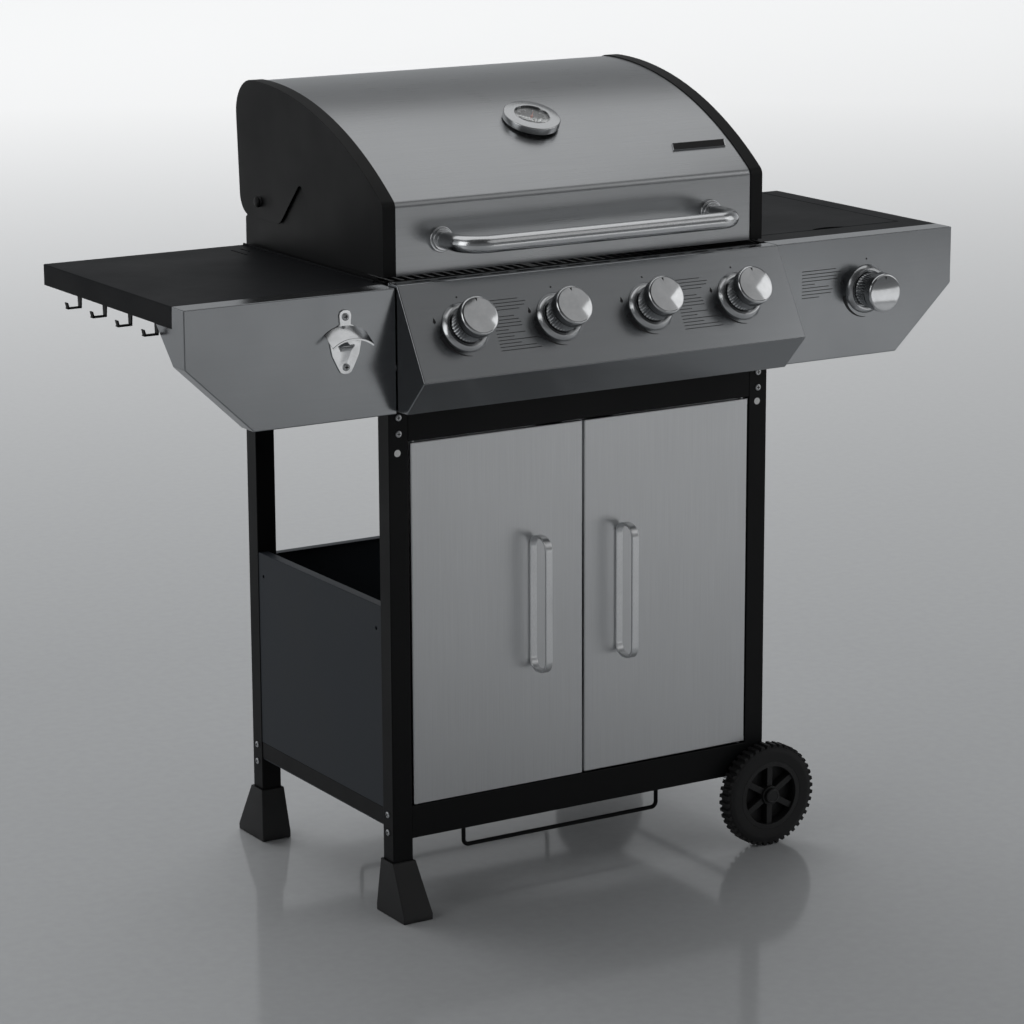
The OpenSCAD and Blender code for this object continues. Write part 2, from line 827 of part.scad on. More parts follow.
module bottle_opener() {
    y = -panel_front;
    z0 = opener_screws[0];
    z1 = opener_screws[1];
    t = 2;
    hood_r = 49;
    reach = 21;
    slope = 0.65;
    color("silver") placed() difference() {
        union() {
            // plate with an ear around each screw
            along_y(y - t, t) polygon([
                [opener_x - 7, z1 + 7], [opener_x - 3, z1 + 9], [opener_x + 3, z1 + 9],
                [opener_x + 7, z1 + 7], [opener_x + 9, z1 + 2], [opener_x + 8, z1 - 10],
                [opener_x + 22, z1 - 18], [opener_x + 24, z1 - 30], [opener_x + 20, z0 + 16],
                [opener_x + 12, z0], [opener_x + 8, z0 - 7], [opener_x + 3, z0 - 9],
                [opener_x - 3, z0 - 9], [opener_x - 8, z0 - 7], [opener_x - 12, z0],
                [opener_x - 20, z0 + 16], [opener_x - 24, z1 - 30], [opener_x - 22, z1 - 18],
                [opener_x - 8, z1 - 10], [opener_x - 9, z1 + 2]
            ]);
            // arched hood that catches the cap, sloping down as it comes forward
            multmatrix([[1, 0, 0, 0], [0, 1, 0, 0], [0, slope, 1, -slope * y], [0, 0, 0, 1]])
                along_y(y - t - reach, reach + 1) polygon(concat(
                    arc(opener_x, z1 - 10 - hood_r, hood_r, 51, 129, 10),
                    arc(opener_x, z1 - 10 - hood_r, hood_r - 2.6, 129, 51, 10)
                ));
            // tongue under the cap
            along_x(opener_x - 8, 16) polygon([
                [y - 1, z0 + 26], [y - t - 9, z0 + 31], [y - t - 10, z0 + 29], [y - 1, z0 + 20]
            ]);
        }
        for (z = [z0, z1])
            translate([opener_x, 0, z]) rotate([90, 0, 0]) cylinder(h = 60, r = 2.2, $fn = 32);
    }
}

// --------------------------------------------------------------- tables

module table_tray(x0, x1, top) {
    t = plate_t;
    difference() {
        block([x0, table_front, leg_top], [x1, table_back, top]);
        block([x0 + t, table_front + t, leg_top - 1], [x1 - t, table_back - t, top - t]);
    }
}

table_inner = 4.5;

module left_table() {
    color("#232427") placed() difference() {
        union() {
            table_tray(-table_reach, table_inner, table_top);
            // upstand beside the firebox
            block([table_inner - 8, 30, table_top - 1], [table_inner - 6, 400, table_top + 3]);
        }
        // two slots near the rear corner
        block([-39.5, 318, table_top - 3], [-36.5, 368, table_top + 1]);
        block([-23.5, 345, table_top - 3], [-20.5, 372, table_top + 1]);
    }
}

bowl_l = 642.5;
bowl_r = 874;
bowl_front = 66;
bowl_back = 386;
bowl_low = 805;
bowl_rim_z = table2_top - 19;       // underside of the bowl's rim
bowl_t = 1.2;
side_pin_r = 1.5;

module right_table() {
    t = plate_t;
    x0 = frame_w - table_inner;
    // opening under the side burner's lid
    l = lid2_l - lid2_gap;
    r = lid2_r + lid2_gap;
    front = lid2_front - lid2_gap;
    back = lid2_back + 2 * lid2_gap;
    ledge = bowl_l - l - 0.8;
    color("#232427") placed() difference() {
        union() {
            difference() {
                table_tray(x0, right_end, table2_top);
                block([l, front, table2_top - 10], [r, back, table2_top + 1]);
            }
            block([x0 + 6, 30, table2_top - 1], [x0 + 8, 400, table2_top + 3]);
            // edges folded down around the opening, with a ledge for the bowl's rim
            difference() {
                block([l - t, front - t, bowl_rim_z - t], [r + t, back + t, table2_top - t / 2]);
                block([l, front, bowl_rim_z], [r, back, table2_top + 1]);
                block([l + ledge, front + ledge, bowl_rim_z - 5],
                      [r - ledge, back - ledge - 6, bowl_rim_z + 5]);
            }
            // stops for the lid's side folds
            for (x = [l - t / 2, r - 3.5])
                block([x, front + 12, table2_top - 10],
                      [x + 3.5 + t / 2, front + 22, table2_top - 7.3]);
        }
        bar_x(l - 3, r + 3, lid2_pivot_y, lid2_pivot_z, side_pin_r);
    }
}

module side_burner_bowl() {
    t = bowl_t;
    rim = 5;
    z = bowl_rim_z;
    color("#8d8f91") placed() difference() {
        union() {
            block([bowl_l - rim, bowl_front - rim, z], [bowl_r + rim, bowl_back + rim, z + t]);
            block([bowl_l, bowl_front, bowl_low], [bowl_r, bowl_back, z + t]);
        }
        block([bowl_l + t, bowl_front + t, bowl_low + t], [bowl_r - t, bowl_back - t, z + 20]);
        bar_z(burner2_x, burner2_y, bowl_low - 1, bowl_low + t + 1, 20);
    }
}

module side_burner_head() {
    low = 790;
    color("#26272a") placed() difference() {
        union() {
            bar_z(burner2_x, burner2_y, low, 822, 19);
            // collar that stands on the bowl
            bar_z(burner2_x, burner2_y, bowl_low + bowl_t, bowl_low + bowl_t + 3, 26);
            bar_z(burner2_x, burner2_y, 822, 831, 34);
            bar_z(burner2_x, burner2_y, 831, 836, 27);
            bar_y(side_knob_x, 26, burner2_y, side_knob_z, 9);
        }
        bar_y(side_knob_x, 25, 60, side_knob_z, 7.5);
        for (k = [0:23])
            translate([burner2_x, burner2_y, 826.5]) rotate([0, 0, k * 15]) translate([28, 0, 0])
                rotate([0, 90, 0]) cylinder(h = 8, r = 1.4, $fn = 16);
    }
}

module pan_support() {
    z = bowl_rim_z + bowl_t;
    h = 5;
    w = 4;
    ring_r = 52;
    color("#26272a") placed() {
        difference() {
            bar_z(burner2_x, burner2_y, z, z + h, ring_r);
            bar_z(burner2_x, burner2_y, z - 1, z + h + 1, ring_r - w);
        }
        for (x = [burner2_x - 30, burner2_x + 30])
            difference() {
                block([x - w / 2, bowl_front - 4, z], [x + w / 2, bowl_back + 4, z + h]);
                bar_z(burner2_x, burner2_y, z - 1, z + h + 1, ring_r - w / 2);
            }
        for (y = [burner2_y - 30, burner2_y + 30])
            difference() {
                block([bowl_l - 4, y - w / 2, z], [bowl_r + 4, y + w / 2, z + h]);
                bar_z(burner2_x, burner2_y, z - 1, z + h + 1, ring_r - w / 2);
            }
    }
}

module side_burner_lid() {
    t = 1.5;
    fold = 7;
    notch_r = 46;
    color("#232427") placed() difference() {
        block([lid2_l, lid2_front, table2_top - fold], [lid2_r, lid2_back, table2_top]);
        block([lid2_l + t, lid2_front + t, table2_top - fold - 1],
              [lid2_r - t, lid2_back - t, table2_top - t]);
        translate([burner2_x - 3, lid2_front - notch_r + 10, table2_top - fold - 1])
            cylinder(h = fold + 2, r = notch_r, $fn = smooth);
        // pivot holes in the side folds
        bar_x(lid2_l - 1, lid2_l + 5, lid2_pivot_y, lid2_pivot_z, side_pin_r + axle_gap);
        bar_x(lid2_r - 5, lid2_r + 1, lid2_pivot_y, lid2_pivot_z, side_pin_r + axle_gap);
    }
}

module tool_hooks() {
    t = 2;
    w0 = 5.5;
    w1 = 4;
    x = -table_reach + plate_t;
    out = -table_reach - hook_reach;
    top = table_top - table_edge;
    low = top - 15.5;
    color("#1c1d1f") placed() for (y = [61, 139, 216, 294]) {
        // strap behind the table's edge
        along_x(x, t) polygon([
            [y - w0, top + 22], [y + w0, top + 22], [y + w0, top - 2], [y + w1, low],
            [y - w1, low], [y - w0, top - 2]
        ]);
        block([out + 1, y - w1, low], [x + t, y + w1, low + t]);
        along_y(y - w1, 2 * w1) polygon([
            [out, low + 9], [out + t, low + 9], [out + t + 2, low + t], [out + 3, low],
            [out + 2, low + 0.5]
        ]);
    }
}

// ---------------------------------------------------------------- doors

module door(x0, x1, hinge_left) {
    t = sheet;
    px = hinge_left ? x0 + pivot_in : x1 - pivot_in;
    difference() {
        union() {
            difference() {
                block([x0, 0, door_bottom], [x1, door_t, door_top]);
                block([x0 + t, t, door_bottom + t], [x1 - t, door_t + 1, door_top - t]);
            }
            // blocks that hold the pivots
            for (z = [door_bottom + t / 2, door_top - t / 2 - 8])
                block([px - 4.5, t / 2, z], [px + 7, 13, z + 8]);
        }
        bar_z(px, pivot_in, door_bottom - 1, door_bottom + 10, pin_r + axle_gap);
        bar_z(px, pivot_in, door_top - 10, door_top + 1, pin_r + axle_gap);
    }
}

module left_door() {
    color("#9a9da0") placed() door(door_l, mid_x - door_gap / 2, true);
}

module right_door() {
    color("#9a9da0") placed() door(mid_x + door_gap / 2, door_r, false);
}

handle_low = 317;
handle_high = 507.5;

// closed loop strap with round corners, standing on the door
module door_handle(x) {
    w = 11;
    t = 3.5;
    out = 44;
    r = 18;
    color("silver") placed() translate([x - w / 2, 0, 0]) {
        block([0, -out + r, handle_low], [w, -r, handle_low + t]);
        block([0, -out + r, handle_high - t], [w, -r, handle_high]);
        block([0, -out, handle_low + r], [w, -out + t, handle_high - r]);
        block([0, -t, handle_low + r], [w, 0, handle_high - r]);
        for (c = [[-out + r, handle_low + r, 180], [-out + r, handle_high - r, 90],
                  [-r, handle_low + r, 270], [-r, handle_high - r, 0]])
            translate([0, c[0], c[1]]) rotate([90, 0, 90]) rotate([0, 0, c[2]]) difference() {
                intersection() {
                    cylinder(h = w, r = r, $fn = smooth);
                    cube([r, r, w]);
                }
                translate([0, 0, -1]) cylinder(h = w + 2, r = r - t, $fn = smooth);
            }
    }
}

module left_door_handle() door_handle(221.6);
module right_door_handle() door_handle(361);

module hinge_pins() {
    px = [door_l + pivot_in, door_r - pivot_in];
    color("silver") placed() {
        for (x = px) {
            bar_z(x, pivot_in, door_bottom - 10, door_bottom + 7, pin_r);
            bar_z(x, pivot_in, door_top - 7, door_top + 10, pin_r);
        }
        // pivots of the side burner's lid
        for (x = [lid2_l - lid2_gap - 2.5, lid2_r - 3])
            bar_x(x, x + 5.5 + lid2_gap, lid2_pivot_y, lid2_pivot_z, side_pin_r);
    }
}

module door_magnets() {
    color("#232427") placed() for (x = [mid_x - 40, mid_x + 40])
        difference() {
            block([x - 18, 20, top_rail_low - 14], [x + 18, 32, top_rail_low + 10]);
            block([x - 14, 19, top_rail_low - 12], [x + 14, 22, top_rail_low - 4]);
        }
}

module frame_screws() {
    color("silver") placed() {
        at_screws() {
            cylinder(h = 2, r = screw_r, $fn = 48);
            translate([0, 0, -5]) cylinder(h = 5.5, r = screw_shank, $fn = 48);
        }
        for (z = opener_screws)
            translate([opener_x, -panel_front - 2, z]) rotate([90, 0, 0]) {
                cylinder(h = 2, r = 5, $fn = 48);
                translate([0, 0, -6]) cylinder(h = 7, r = 2, $fn = 48);
            }
    }
}

// ------------------------------------------------------------------ lid

module lid_skin() {
    t = 1.2;
    x0 = lid_l + cap_lift + 0.2;
    x1 = frame_w - x0;
    a = lid_slope(thermo_y);
    color("#9a9da0") placed() difference() {
        union() {
            along_x(x0, x1 - x0) difference() {
                polygon(lid_line(0, lid_bottom, skin_back_z));
                polygon(lid_line(t, lid_bottom - 5, skin_back_z - 5));
            }
            // stiffening fold along the lower front edge
            block([x0 + 22, lid_front + 0.5, lid_bottom], [x1 - 22, lid_front + 14, lid_bottom + t]);
        }
        translate([mid_x, thermo_y, lid_height(thermo_y)]) rotate([a, 0, 0])
            translate([0, 0, -8]) cylinder(h = 16, r = 4.5, $fn = 48);
    }
}

// side of the lid, with the open notch ahead of the hinge
lobe_r = 31;
lobe_z = 939.5;
function cap_line(t) = concat(
    lid_curve(-t, lid_bottom),
    arc(back_at(lobe_z, -t) - lobe_r, lobe_z, lobe_r, -back_lean, -90, 8),
    [[304, 908.5], [296, 913]],
    arc(240, 960, 8, 46, 134, 6),
    [[148, lid_bottom]]
);

module lid_caps() {
    t = cap_lift;
    color("#17181a") placed() mirror_copy() difference() {
        union() {
            along_x(lid_l, t) polygon(cap_line(t));
            // rim that overlaps the skin's edge
            along_x(lid_l, cap_w) difference() {
                polygon(lid_line(-t, lid_bottom, skin_back_z));
                polygon(lid_line(0, lid_bottom - 5, skin_back_z - 5));
            }
        }
        bar_x(lid_l - 5, lid_l + 5, hinge_y, hinge_z, 4 + axle_gap);
    }
}

bar_y0 = lid_front - handle_out;
handle_z = 919;
flange_h = 9;

// the handle's bent tube as a solid rod of radius r
module handle_rod(r) {
    bend = 32;
    x0 = mid_x - handle_span / 2;
    x1 = mid_x + handle_span / 2;
    yb = bar_y0 + bend;
    bar_x(x0 + bend, x1 - bend, bar_y0, handle_z, r);
    for (x = [x0, x1]) bar_y(x, yb, lid_front - flange_h, handle_z, r);
    translate([x0 + bend, yb, handle_z]) rotate([0, 0, 180])
        rotate_extrude(angle = 90, $fn = smooth) translate([bend, 0])
            circle(r = r, $fn = smooth);
    translate([x1 - bend, yb, handle_z]) rotate([0, 0, -90])
        rotate_extrude(angle = 90, $fn = smooth) translate([bend, 0])
            circle(r = r, $fn = smooth);
}

module lid_handle() {
    color("silver") placed() difference() {
        handle_rod(handle_r);
        handle_rod(handle_r - 1.5);
    }
}

module handle_flanges() {
    color("silver") placed() for (side = [-1, 1]) {
        x = mid_x + side * handle_span / 2;
        bar_y(x, lid_front - 5, lid_front, handle_z, 17.3);
        bar_y(x, lid_front - flange_h, lid_front - 4.5, handle_z, 14.6);
    }
}

module thermometer() {
    a = lid_slope(thermo_y);
    color("silver") placed() translate([mid_x, thermo_y, lid_height(thermo_y)]) rotate([a, 0, 0]) {
        rotate_extrude($fn = smooth) polygon([
            [0, 1.4], [34, 1.4], [38.5, 4], [40, 7], [39, 10], [29, 12], [28, 11.5], [28, 6], [0, 6]
        ]);
        translate([0, 0, 0.06]) cylinder(h = 2, r = 8, $fn = 48);
        translate([0, 0, -62]) cylinder(h = 64, r = 3.5, $fn = 48);
    }
}

module badge_plate() {
    a = lid_slope(badge_y);
    len = 46;
    tall = 7;
    color("#17181a") placed() translate([badge_x, badge_y, lid_height(badge_y)])
        rotate([a, 0, 0]) translate([0, 0, 0.15]) linear_extrude(2)
            polygon([[-len, -tall], [len - 5, -tall], [len, tall], [-len + 5, tall]]);
}

// --------------------------------------------------------------- wheels

module at_wheel(side) {
    y = side == 0 ? -wheel_gap : frame_d + wheel_gap;
    translate([wheel_x, y, wheel_r]) rotate([side == 0 ? 90 : -90, 0, 0]) children();
}

rim_r = 50;
hub_r = 14;

module wheel(side) {
    inner = rim_r - 7;
    color("#1c1d1f") placed() at_wheel(side) difference() {
        union() {
            difference() {
                translate([0, 0, 1.5]) cylinder(h = wheel_w - 3, r = rim_r, $fn = smooth);
                cylinder(h = wheel_w, r = inner, $fn = smooth);
            }
            cylinder(h = wheel_w - 1, r = hub_r, $fn = smooth);
            translate([0, 0, 4]) cylinder(h = 4, r = inner + 2, $fn = smooth);
            for (k = [0:5]) rotate([0, 0, 60 * k + 30])
                translate([hub_r - 2, -4.5, 5]) cube([inner - hub_r + 4, 9, wheel_w - 10]);
        }
        translate([0, 0, -1]) cylinder(h = wheel_w + 2, r = axle_r + axle_gap, $fn = smooth);
    }
}

module front_wheel() wheel(0);
module rear_wheel() wheel(1);

function lug_points(r0, r1, n) = [
    for (k = [0:n - 1], p = [[0, r0], [0.1, r1], [0.55, r1], [0.65, r0]])
        let (a = 360 * (k + p[0]) / n) [p[1] * cos(a), p[1] * sin(a)]
];

module tyre(side) {
    w = wheel_w;
    groove = 3.5;
    color("#1c1d1f") placed() at_wheel(side) difference() {
        union() {
            rotate_extrude($fn = smooth) polygon([
                [rim_r, 1.5], [wheel_r - 13, 0], [wheel_r - 6, 2], [wheel_r - groove, 6],
                [wheel_r - groove, w - 6], [wheel_r - 6, w - 2], [wheel_r - 13, w],
                [rim_r, w - 1.5]
            ]);
            translate([0, 0, 3.5]) linear_extrude(w - 7)
                polygon(lug_points(wheel_r - groove - 1, wheel_r, lug_count));
        }
        translate([0, 0, -1]) cylinder(h = w + 2, r = rim_r, $fn = smooth);
    }
}

module front_tyre() tyre(0);
module rear_tyre() tyre(1);

legs();
feet();
axle_carriers();
wheel_axle();
axle_caps();
upper_rails();
lower_rails();
side_panels();
rear_panel();
bottom_shelf();
bottle_wires();
tray_runners();
firebox();
lid_hinge_bolts();
main_burners();
heat_tents();
cooking_grates();
warming_rack();
gas_manifold();
gas_valves();
control_panel();
knob_bezels();
left_table();
left_front_panel();
right_table();
right_front_panel();
tool_hooks();
bottle_opener();
side_burner_bowl();
side_burner_head();
pan_support();
frame_screws();
hinge_pins();
door_magnets();
lid_skin();
lid_caps();
lid_handle();
handle_flanges();
thermometer();
badge_plate();
left_door();
right_door();
left_door_handle();
right_door_handle();
knob_1();
knob_2();
knob_3();
knob_4();
knob_5();
valve_plug_1();
valve_plug_2();
valve_plug_3();
valve_plug_4();
valve_plug_5();
front_wheel();
rear_wheel();
front_tyre();
rear_tyre();
drip_tray();
side_burner_lid();
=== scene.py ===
import json
import math

import bmesh
import bpy
from mathutils import Matrix, Vector


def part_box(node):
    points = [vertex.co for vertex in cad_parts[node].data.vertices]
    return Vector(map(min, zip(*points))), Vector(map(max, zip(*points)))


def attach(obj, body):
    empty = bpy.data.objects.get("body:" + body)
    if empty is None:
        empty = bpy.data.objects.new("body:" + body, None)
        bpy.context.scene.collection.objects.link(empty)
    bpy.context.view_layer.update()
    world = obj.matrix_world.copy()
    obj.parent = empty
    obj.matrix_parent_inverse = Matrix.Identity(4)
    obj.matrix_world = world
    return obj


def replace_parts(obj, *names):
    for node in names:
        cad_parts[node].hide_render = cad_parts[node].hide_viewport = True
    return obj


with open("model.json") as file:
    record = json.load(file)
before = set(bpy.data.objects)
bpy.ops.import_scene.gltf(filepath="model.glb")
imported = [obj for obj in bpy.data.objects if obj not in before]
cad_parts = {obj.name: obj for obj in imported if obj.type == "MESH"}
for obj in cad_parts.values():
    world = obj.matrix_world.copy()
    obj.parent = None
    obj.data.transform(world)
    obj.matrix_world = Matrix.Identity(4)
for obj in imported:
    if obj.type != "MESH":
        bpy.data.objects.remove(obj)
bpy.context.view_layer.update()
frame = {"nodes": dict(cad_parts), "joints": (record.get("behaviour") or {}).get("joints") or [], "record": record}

MM = 0.001

record = frame["record"]
nodes = frame["nodes"]
joints = {joint["name"]: joint for joint in frame["joints"]}
body_of = {n: body for body, members in record["behaviour"]["bodies"].items() for n in members}
slot_of = {part["node"]: part["material_slot"] for part in record["subparts"]}


# ------------------------------------------------------------------ finishes

class Finish:
    """A Principled material, and the node moves that the finishes share."""

    def __init__(self, name, colour, metallic, roughness, **constants):
        self.material = bpy.data.materials.new(name)
        self.material.use_nodes = True
        self.tree = self.material.node_tree
        self.shader = self.tree.nodes["Principled BSDF"]
        self.shader.inputs["Base Color"].default_value = (*colour, 1)
        self.shader.inputs["Metallic"].default_value = metallic
        self.shader.inputs["Roughness"].default_value = roughness
        for socket, value in constants.items():
            self.shader.inputs[socket.replace("_", " ")].default_value = value
        self.where = self.node("ShaderNodeTexCoord").outputs["Object"]
        self.height = None
        self.material.diffuse_color = (*colour, 1)

    def node(self, kind):
        return self.tree.nodes.new(kind)

    def link(self, output, socket):
        self.tree.links.new(output, socket)

    def stretched(self, scale):
        """Object coordinates, scaled along each axis."""
        mapping = self.node("ShaderNodeMapping")
        mapping.inputs["Scale"].default_value = scale
        self.link(self.where, mapping.inputs["Vector"])
        return mapping.outputs["Vector"]

    def noise(self, scale, detail=3.0, rough=0.5):
        """Noise from 0 to 1. scale is features per metre along x, y and z."""
        texture = self.node("ShaderNodeTexNoise")
        texture.inputs["Scale"].default_value = 1.0
        texture.inputs["Detail"].default_value = detail
        texture.inputs["Roughness"].default_value = rough
        self.link(self.stretched(scale), texture.inputs["Vector"])
        return texture.outputs["Fac"]

    def cells(self, scale):
        """A colour for each cell of a Voronoi pattern."""
        texture = self.node("ShaderNodeTexVoronoi")
        texture.inputs["Scale"].default_value = scale
        self.link(self.where, texture.inputs["Vector"])
        return texture.outputs["Color"]

    def spread(self, source, from_low, from_high, low, high):
        """source, mapped from one range to another and held inside it."""
        change = self.node("ShaderNodeMapRange")
        change.inputs["From Min"].default_value = from_low
        change.inputs["From Max"].default_value = from_high
        change.inputs["To Min"].default_value = low
        change.inputs["To Max"].default_value = high
        self.link(source, change.inputs["Value"])
        return change.outputs["Result"]

    def add(self, a, b):
        total = self.node("ShaderNodeMath")
        total.operation = "ADD"
        self.link(a, total.inputs[0])
        self.link(b, total.inputs[1])
        return total.outputs["Value"]

    def mix(self, amount, a, b):
        """The colour a where amount is 0 and b where it is 1. Either may be an output."""
        blend = self.node("ShaderNodeMix")
        blend.data_type = "RGBA"
        sockets = {socket.identifier: socket for socket in blend.inputs}
        self.link(amount, sockets["Factor_Float"])
        for value, socket in ((a, sockets["A_Color"]), (b, sockets["B_Color"])):
            if isinstance(value, tuple):
                socket.default_value = (*value, 1)
            else:
                self.link(value, socket)
        return next(socket for socket in blend.outputs if socket.identifier == "Result_Color")

    def colour(self, output):
        self.link(output, self.shader.inputs["Base Color"])

    def roughness(self, output):
        self.link(output, self.shader.inputs["Roughness"])

    def bump(self, source, depth, strength=1.0):
        """Adds a bump of a height in metres, over any earlier one."""
        bump = self.node("ShaderNodeBump")
        bump.inputs["Strength"].default_value = strength
        bump.inputs["Distance"].default_value = depth
        self.link(source, bump.inputs["Height"])
        if self.height:
            self.link(self.height, bump.inputs["Normal"])
        self.height = bump.outputs["Normal"]
        self.link(self.height, self.shader.inputs["Normal"])


def shade(colour, factor):
    return tuple(min(1.0, c * factor) for c in colour)


def brushed(name, colour, grain, roughness, contrast=0.06):
    """Sheet steel brushed along one axis. grain is that axis: 0, 1 or 2."""
    finish = Finish(name, colour, 1.0, roughness)
    fine = [1500.0, 1500.0, 1500.0]
    fine[grain] = 9.0
    coarse = [210.0, 210.0, 210.0]
    coarse[grain] = 2.5
    lines = finish.noise(fine, 4.0, 0.6)
    streaks = finish.noise(coarse, 2.0)
    clouds = finish.noise((3.1, 3.1, 3.1), 3.0)
    smudges = finish.noise((14, 14, 11), 5.0, 0.6)
    tone = finish.mix(
        finish.spread(lines, 0.3, 0.7, 0, 1), shade(colour, 1 - contrast), shade(colour, 1 + contrast)
    )
    worn = finish.mix(finish.spread(clouds, 0.3, 0.75, 0, 0.2), tone, shade(colour, 0.85))
    finish.colour(finish.mix(finish.spread(streaks, 0.4, 0.75, 0, 0.12), worn, shade(colour, 1.12)))
    grainy = finish.spread(lines, 0.25, 0.75, roughness - 0.02, roughness + 0.03)
    finish.roughness(finish.add(grainy, finish.spread(smudges, 0.4, 0.75, 0, 0.025)))
    finish.bump(lines, 0.00001, 0.6)
    return finish.material


def powder_coat(name, colour, roughness, specks=0.5, shine=0.2):
    """Baked powder coat with orange peel, a little dust and faint scuffs."""
    finish = Finish(name, colour, 0.0, roughness, Specular_IOR_Level=shine)
    peel = finish.noise((900, 900, 900), 2.0)
    waves = finish.noise((160, 160, 160), 2.0)
    clouds = finish.noise((4.2, 4.2, 4.2), 4.0, 0.6)
    scuffs = finish.noise((55, 240, 130), 5.0, 0.7)
    base = finish.mix(finish.spread(clouds, 0.3, 0.7, 0, 1), shade(colour, 0.82), shade(colour, 1.25))
    dust = finish.mix(finish.spread(peel, 0.62, 0.8, 0, specks), base, shade(colour, 1.8))
    finish.colour(finish.mix(finish.spread(scuffs, 0.7, 0.8, 0, 0.35), dust, shade(colour, 2.6)))
    low = finish.spread(clouds, 0.3, 0.7, roughness - 0.07, roughness + 0.07)
    finish.roughness(finish.add(low, finish.spread(scuffs, 0.62, 0.8, 0, 0.12)))
    finish.bump(peel, 0.00006, 0.7)
    finish.bump(waves, 0.00012, 0.35)
    return finish.material


def enamel(name, colour, roughness):
    """Glossy baked enamel with a slightly wavy surface."""
    finish = Finish(name, colour, 0.0, roughness, Specular_IOR_Level=0.25)
    waves = finish.noise((120, 120, 120), 2.0)
    clouds = finish.noise((6, 6, 6), 4.0)
    specks = finish.noise((700, 700, 700), 2.0)
    base = finish.mix(finish.spread(clouds, 0.3, 0.7, 0, 1), shade(colour, 0.7), shade(colour, 1.4))
    finish.colour(finish.mix(finish.spread(specks, 0.68, 0.8, 0, 0.6), base, shade(colour, 3.0)))
    finish.roughness(finish.spread(clouds, 0.3, 0.7, roughness - 0.05, roughness + 0.09))
    finish.bump(waves, 0.0001, 0.35)
    finish.bump(specks, 0.00004, 0.4)
    return finish.material


def moulded(name, colour, roughness, grain=650):
    """Moulded plastic or rubber with a fine spark-eroded grain."""
    finish = Finish(name, colour, 0.0, roughness, Specular_IOR_Level=0.4)
    fine = finish.noise((grain, grain, grain), 3.0, 0.6)
    clouds = finish.noise((11, 11, 11), 4.0)
    base = finish.mix(finish.spread(clouds, 0.3, 0.7, 0, 1), shade(colour, 0.8), shade(colour, 1.35))
    finish.colour(finish.mix(finish.spread(fine, 0.55, 0.75, 0, 0.35), base, shade(colour, 1.9)))
    finish.roughness(finish.spread(clouds, 0.3, 0.7, roughness - 0.08, roughness + 0.08))
    finish.bump(fine, 0.00012, 0.5)
    return finish.material


def plated(name, colour, roughness):
    """Chrome or zinc plate: nearly even, with a film of handling marks."""
    finish = Finish(name, colour, 1.0, roughness)
    film = finish.noise((38, 38, 38), 5.0, 0.65)
    ripple = finish.noise((220, 220, 220), 2.0)
    finish.colour(finish.mix(finish.spread(film, 0.35, 0.7, 0, 1), shade(colour, 1.06), shade(colour, 0.9)))
    finish.roughness(finish.spread(film, 0.35, 0.75, roughness, roughness + 0.05))
    finish.bump(ripple, 0.00005, 0.15)
    return finish.material


def satin_metal(name, colour, roughness):
    """Cast or drawn alloy with an even satin, and fine grain."""
    finish = Finish(name, colour, 1.0, roughness)
    grain = finish.noise((1200, 1200, 260), 3.0)
    film = finish.noise((22, 22, 22), 4.0)
    finish.colour(finish.mix(finish.spread(grain, 0.3, 0.7, 0, 1), shade(colour, 0.93), shade(colour, 1.05)))
    finish.roughness(finish.spread(film, 0.3, 0.7, roughness - 0.05, roughness + 0.07))
    finish.bump(grain, 0.00003, 0.5)
    return finish.material


def galvanised(name, colour):
    """Zinc-dipped sheet with its spangle."""
    finish = Finish(name, colour, 1.0, 0.4)
    grey = finish.node("ShaderNodeRGBToBW")
    finish.link(finish.cells(110), grey.inputs["Color"])
    spangle = grey.outputs["Val"]
    finish.colour(finish.mix(spangle, shade(colour, 0.8), shade(colour, 1.18)))
    finish.roughness(finish.spread(spangle, 0, 1, 0.3, 0.52))
    finish.bump(finish.noise((300, 300, 300), 3.0), 0.00006, 0.3)
    return finish.material


def aluminised(name, colour):
    """Heat-resistant aluminised steel, tinted brown where it gets hot."""
    finish = Finish(name, colour, 1.0, 0.45)
    clouds = finish.noise((17, 6, 17), 5.0, 0.6)
    fine = finish.noise((500, 500, 500), 3.0)
    tint = (colour[0] * 0.95, colour[1] * 0.78, colour[2] * 0.6)
    base = finish.mix(finish.spread(clouds, 0.4, 0.75, 0, 0.8), colour, tint)
    finish.colour(finish.mix(finish.spread(fine, 0.5, 0.8, 0, 0.5), base, shade(colour, 0.7)))
    finish.roughness(finish.spread(clouds, 0.3, 0.7, 0.38, 0.58))
    finish.bump(fine, 0.00008, 0.4)
    return finish.material


def cast_enamel(name, colour):
    """Rough enamel over wire or iron."""
    finish = Finish(name, colour, 0.0, 0.42, Coat_Weight=0.2, Coat_Roughness=0.25)
    pits = finish.noise((420, 420, 420), 4.0, 0.65)
    clouds = finish.noise((20, 20, 20), 3.0)
    finish.colour(finish.mix(finish.spread(clouds, 0.3, 0.7, 0, 1), shade(colour, 0.7), shade(colour, 1.7)))
    finish.roughness(finish.spread(pits, 0.3, 0.7, 0.33, 0.55))
    finish.bump(pits, 0.0003, 0.5)
    return finish.material


def turned_brass(name, colour):
    finish = Finish(name, colour, 1.0, 0.28)
    film = finish.noise((60, 60, 60), 4.0)
    rings = finish.noise((900, 900, 90), 2.0)
    finish.colour(finish.mix(finish.spread(film, 0.35, 0.7, 0, 1), colour, shade(colour, 0.6)))
    finish.roughness(finish.spread(film, 0.3, 0.7, 0.22, 0.42))
    finish.bump(rings, 0.00004, 0.4)
    return finish.material


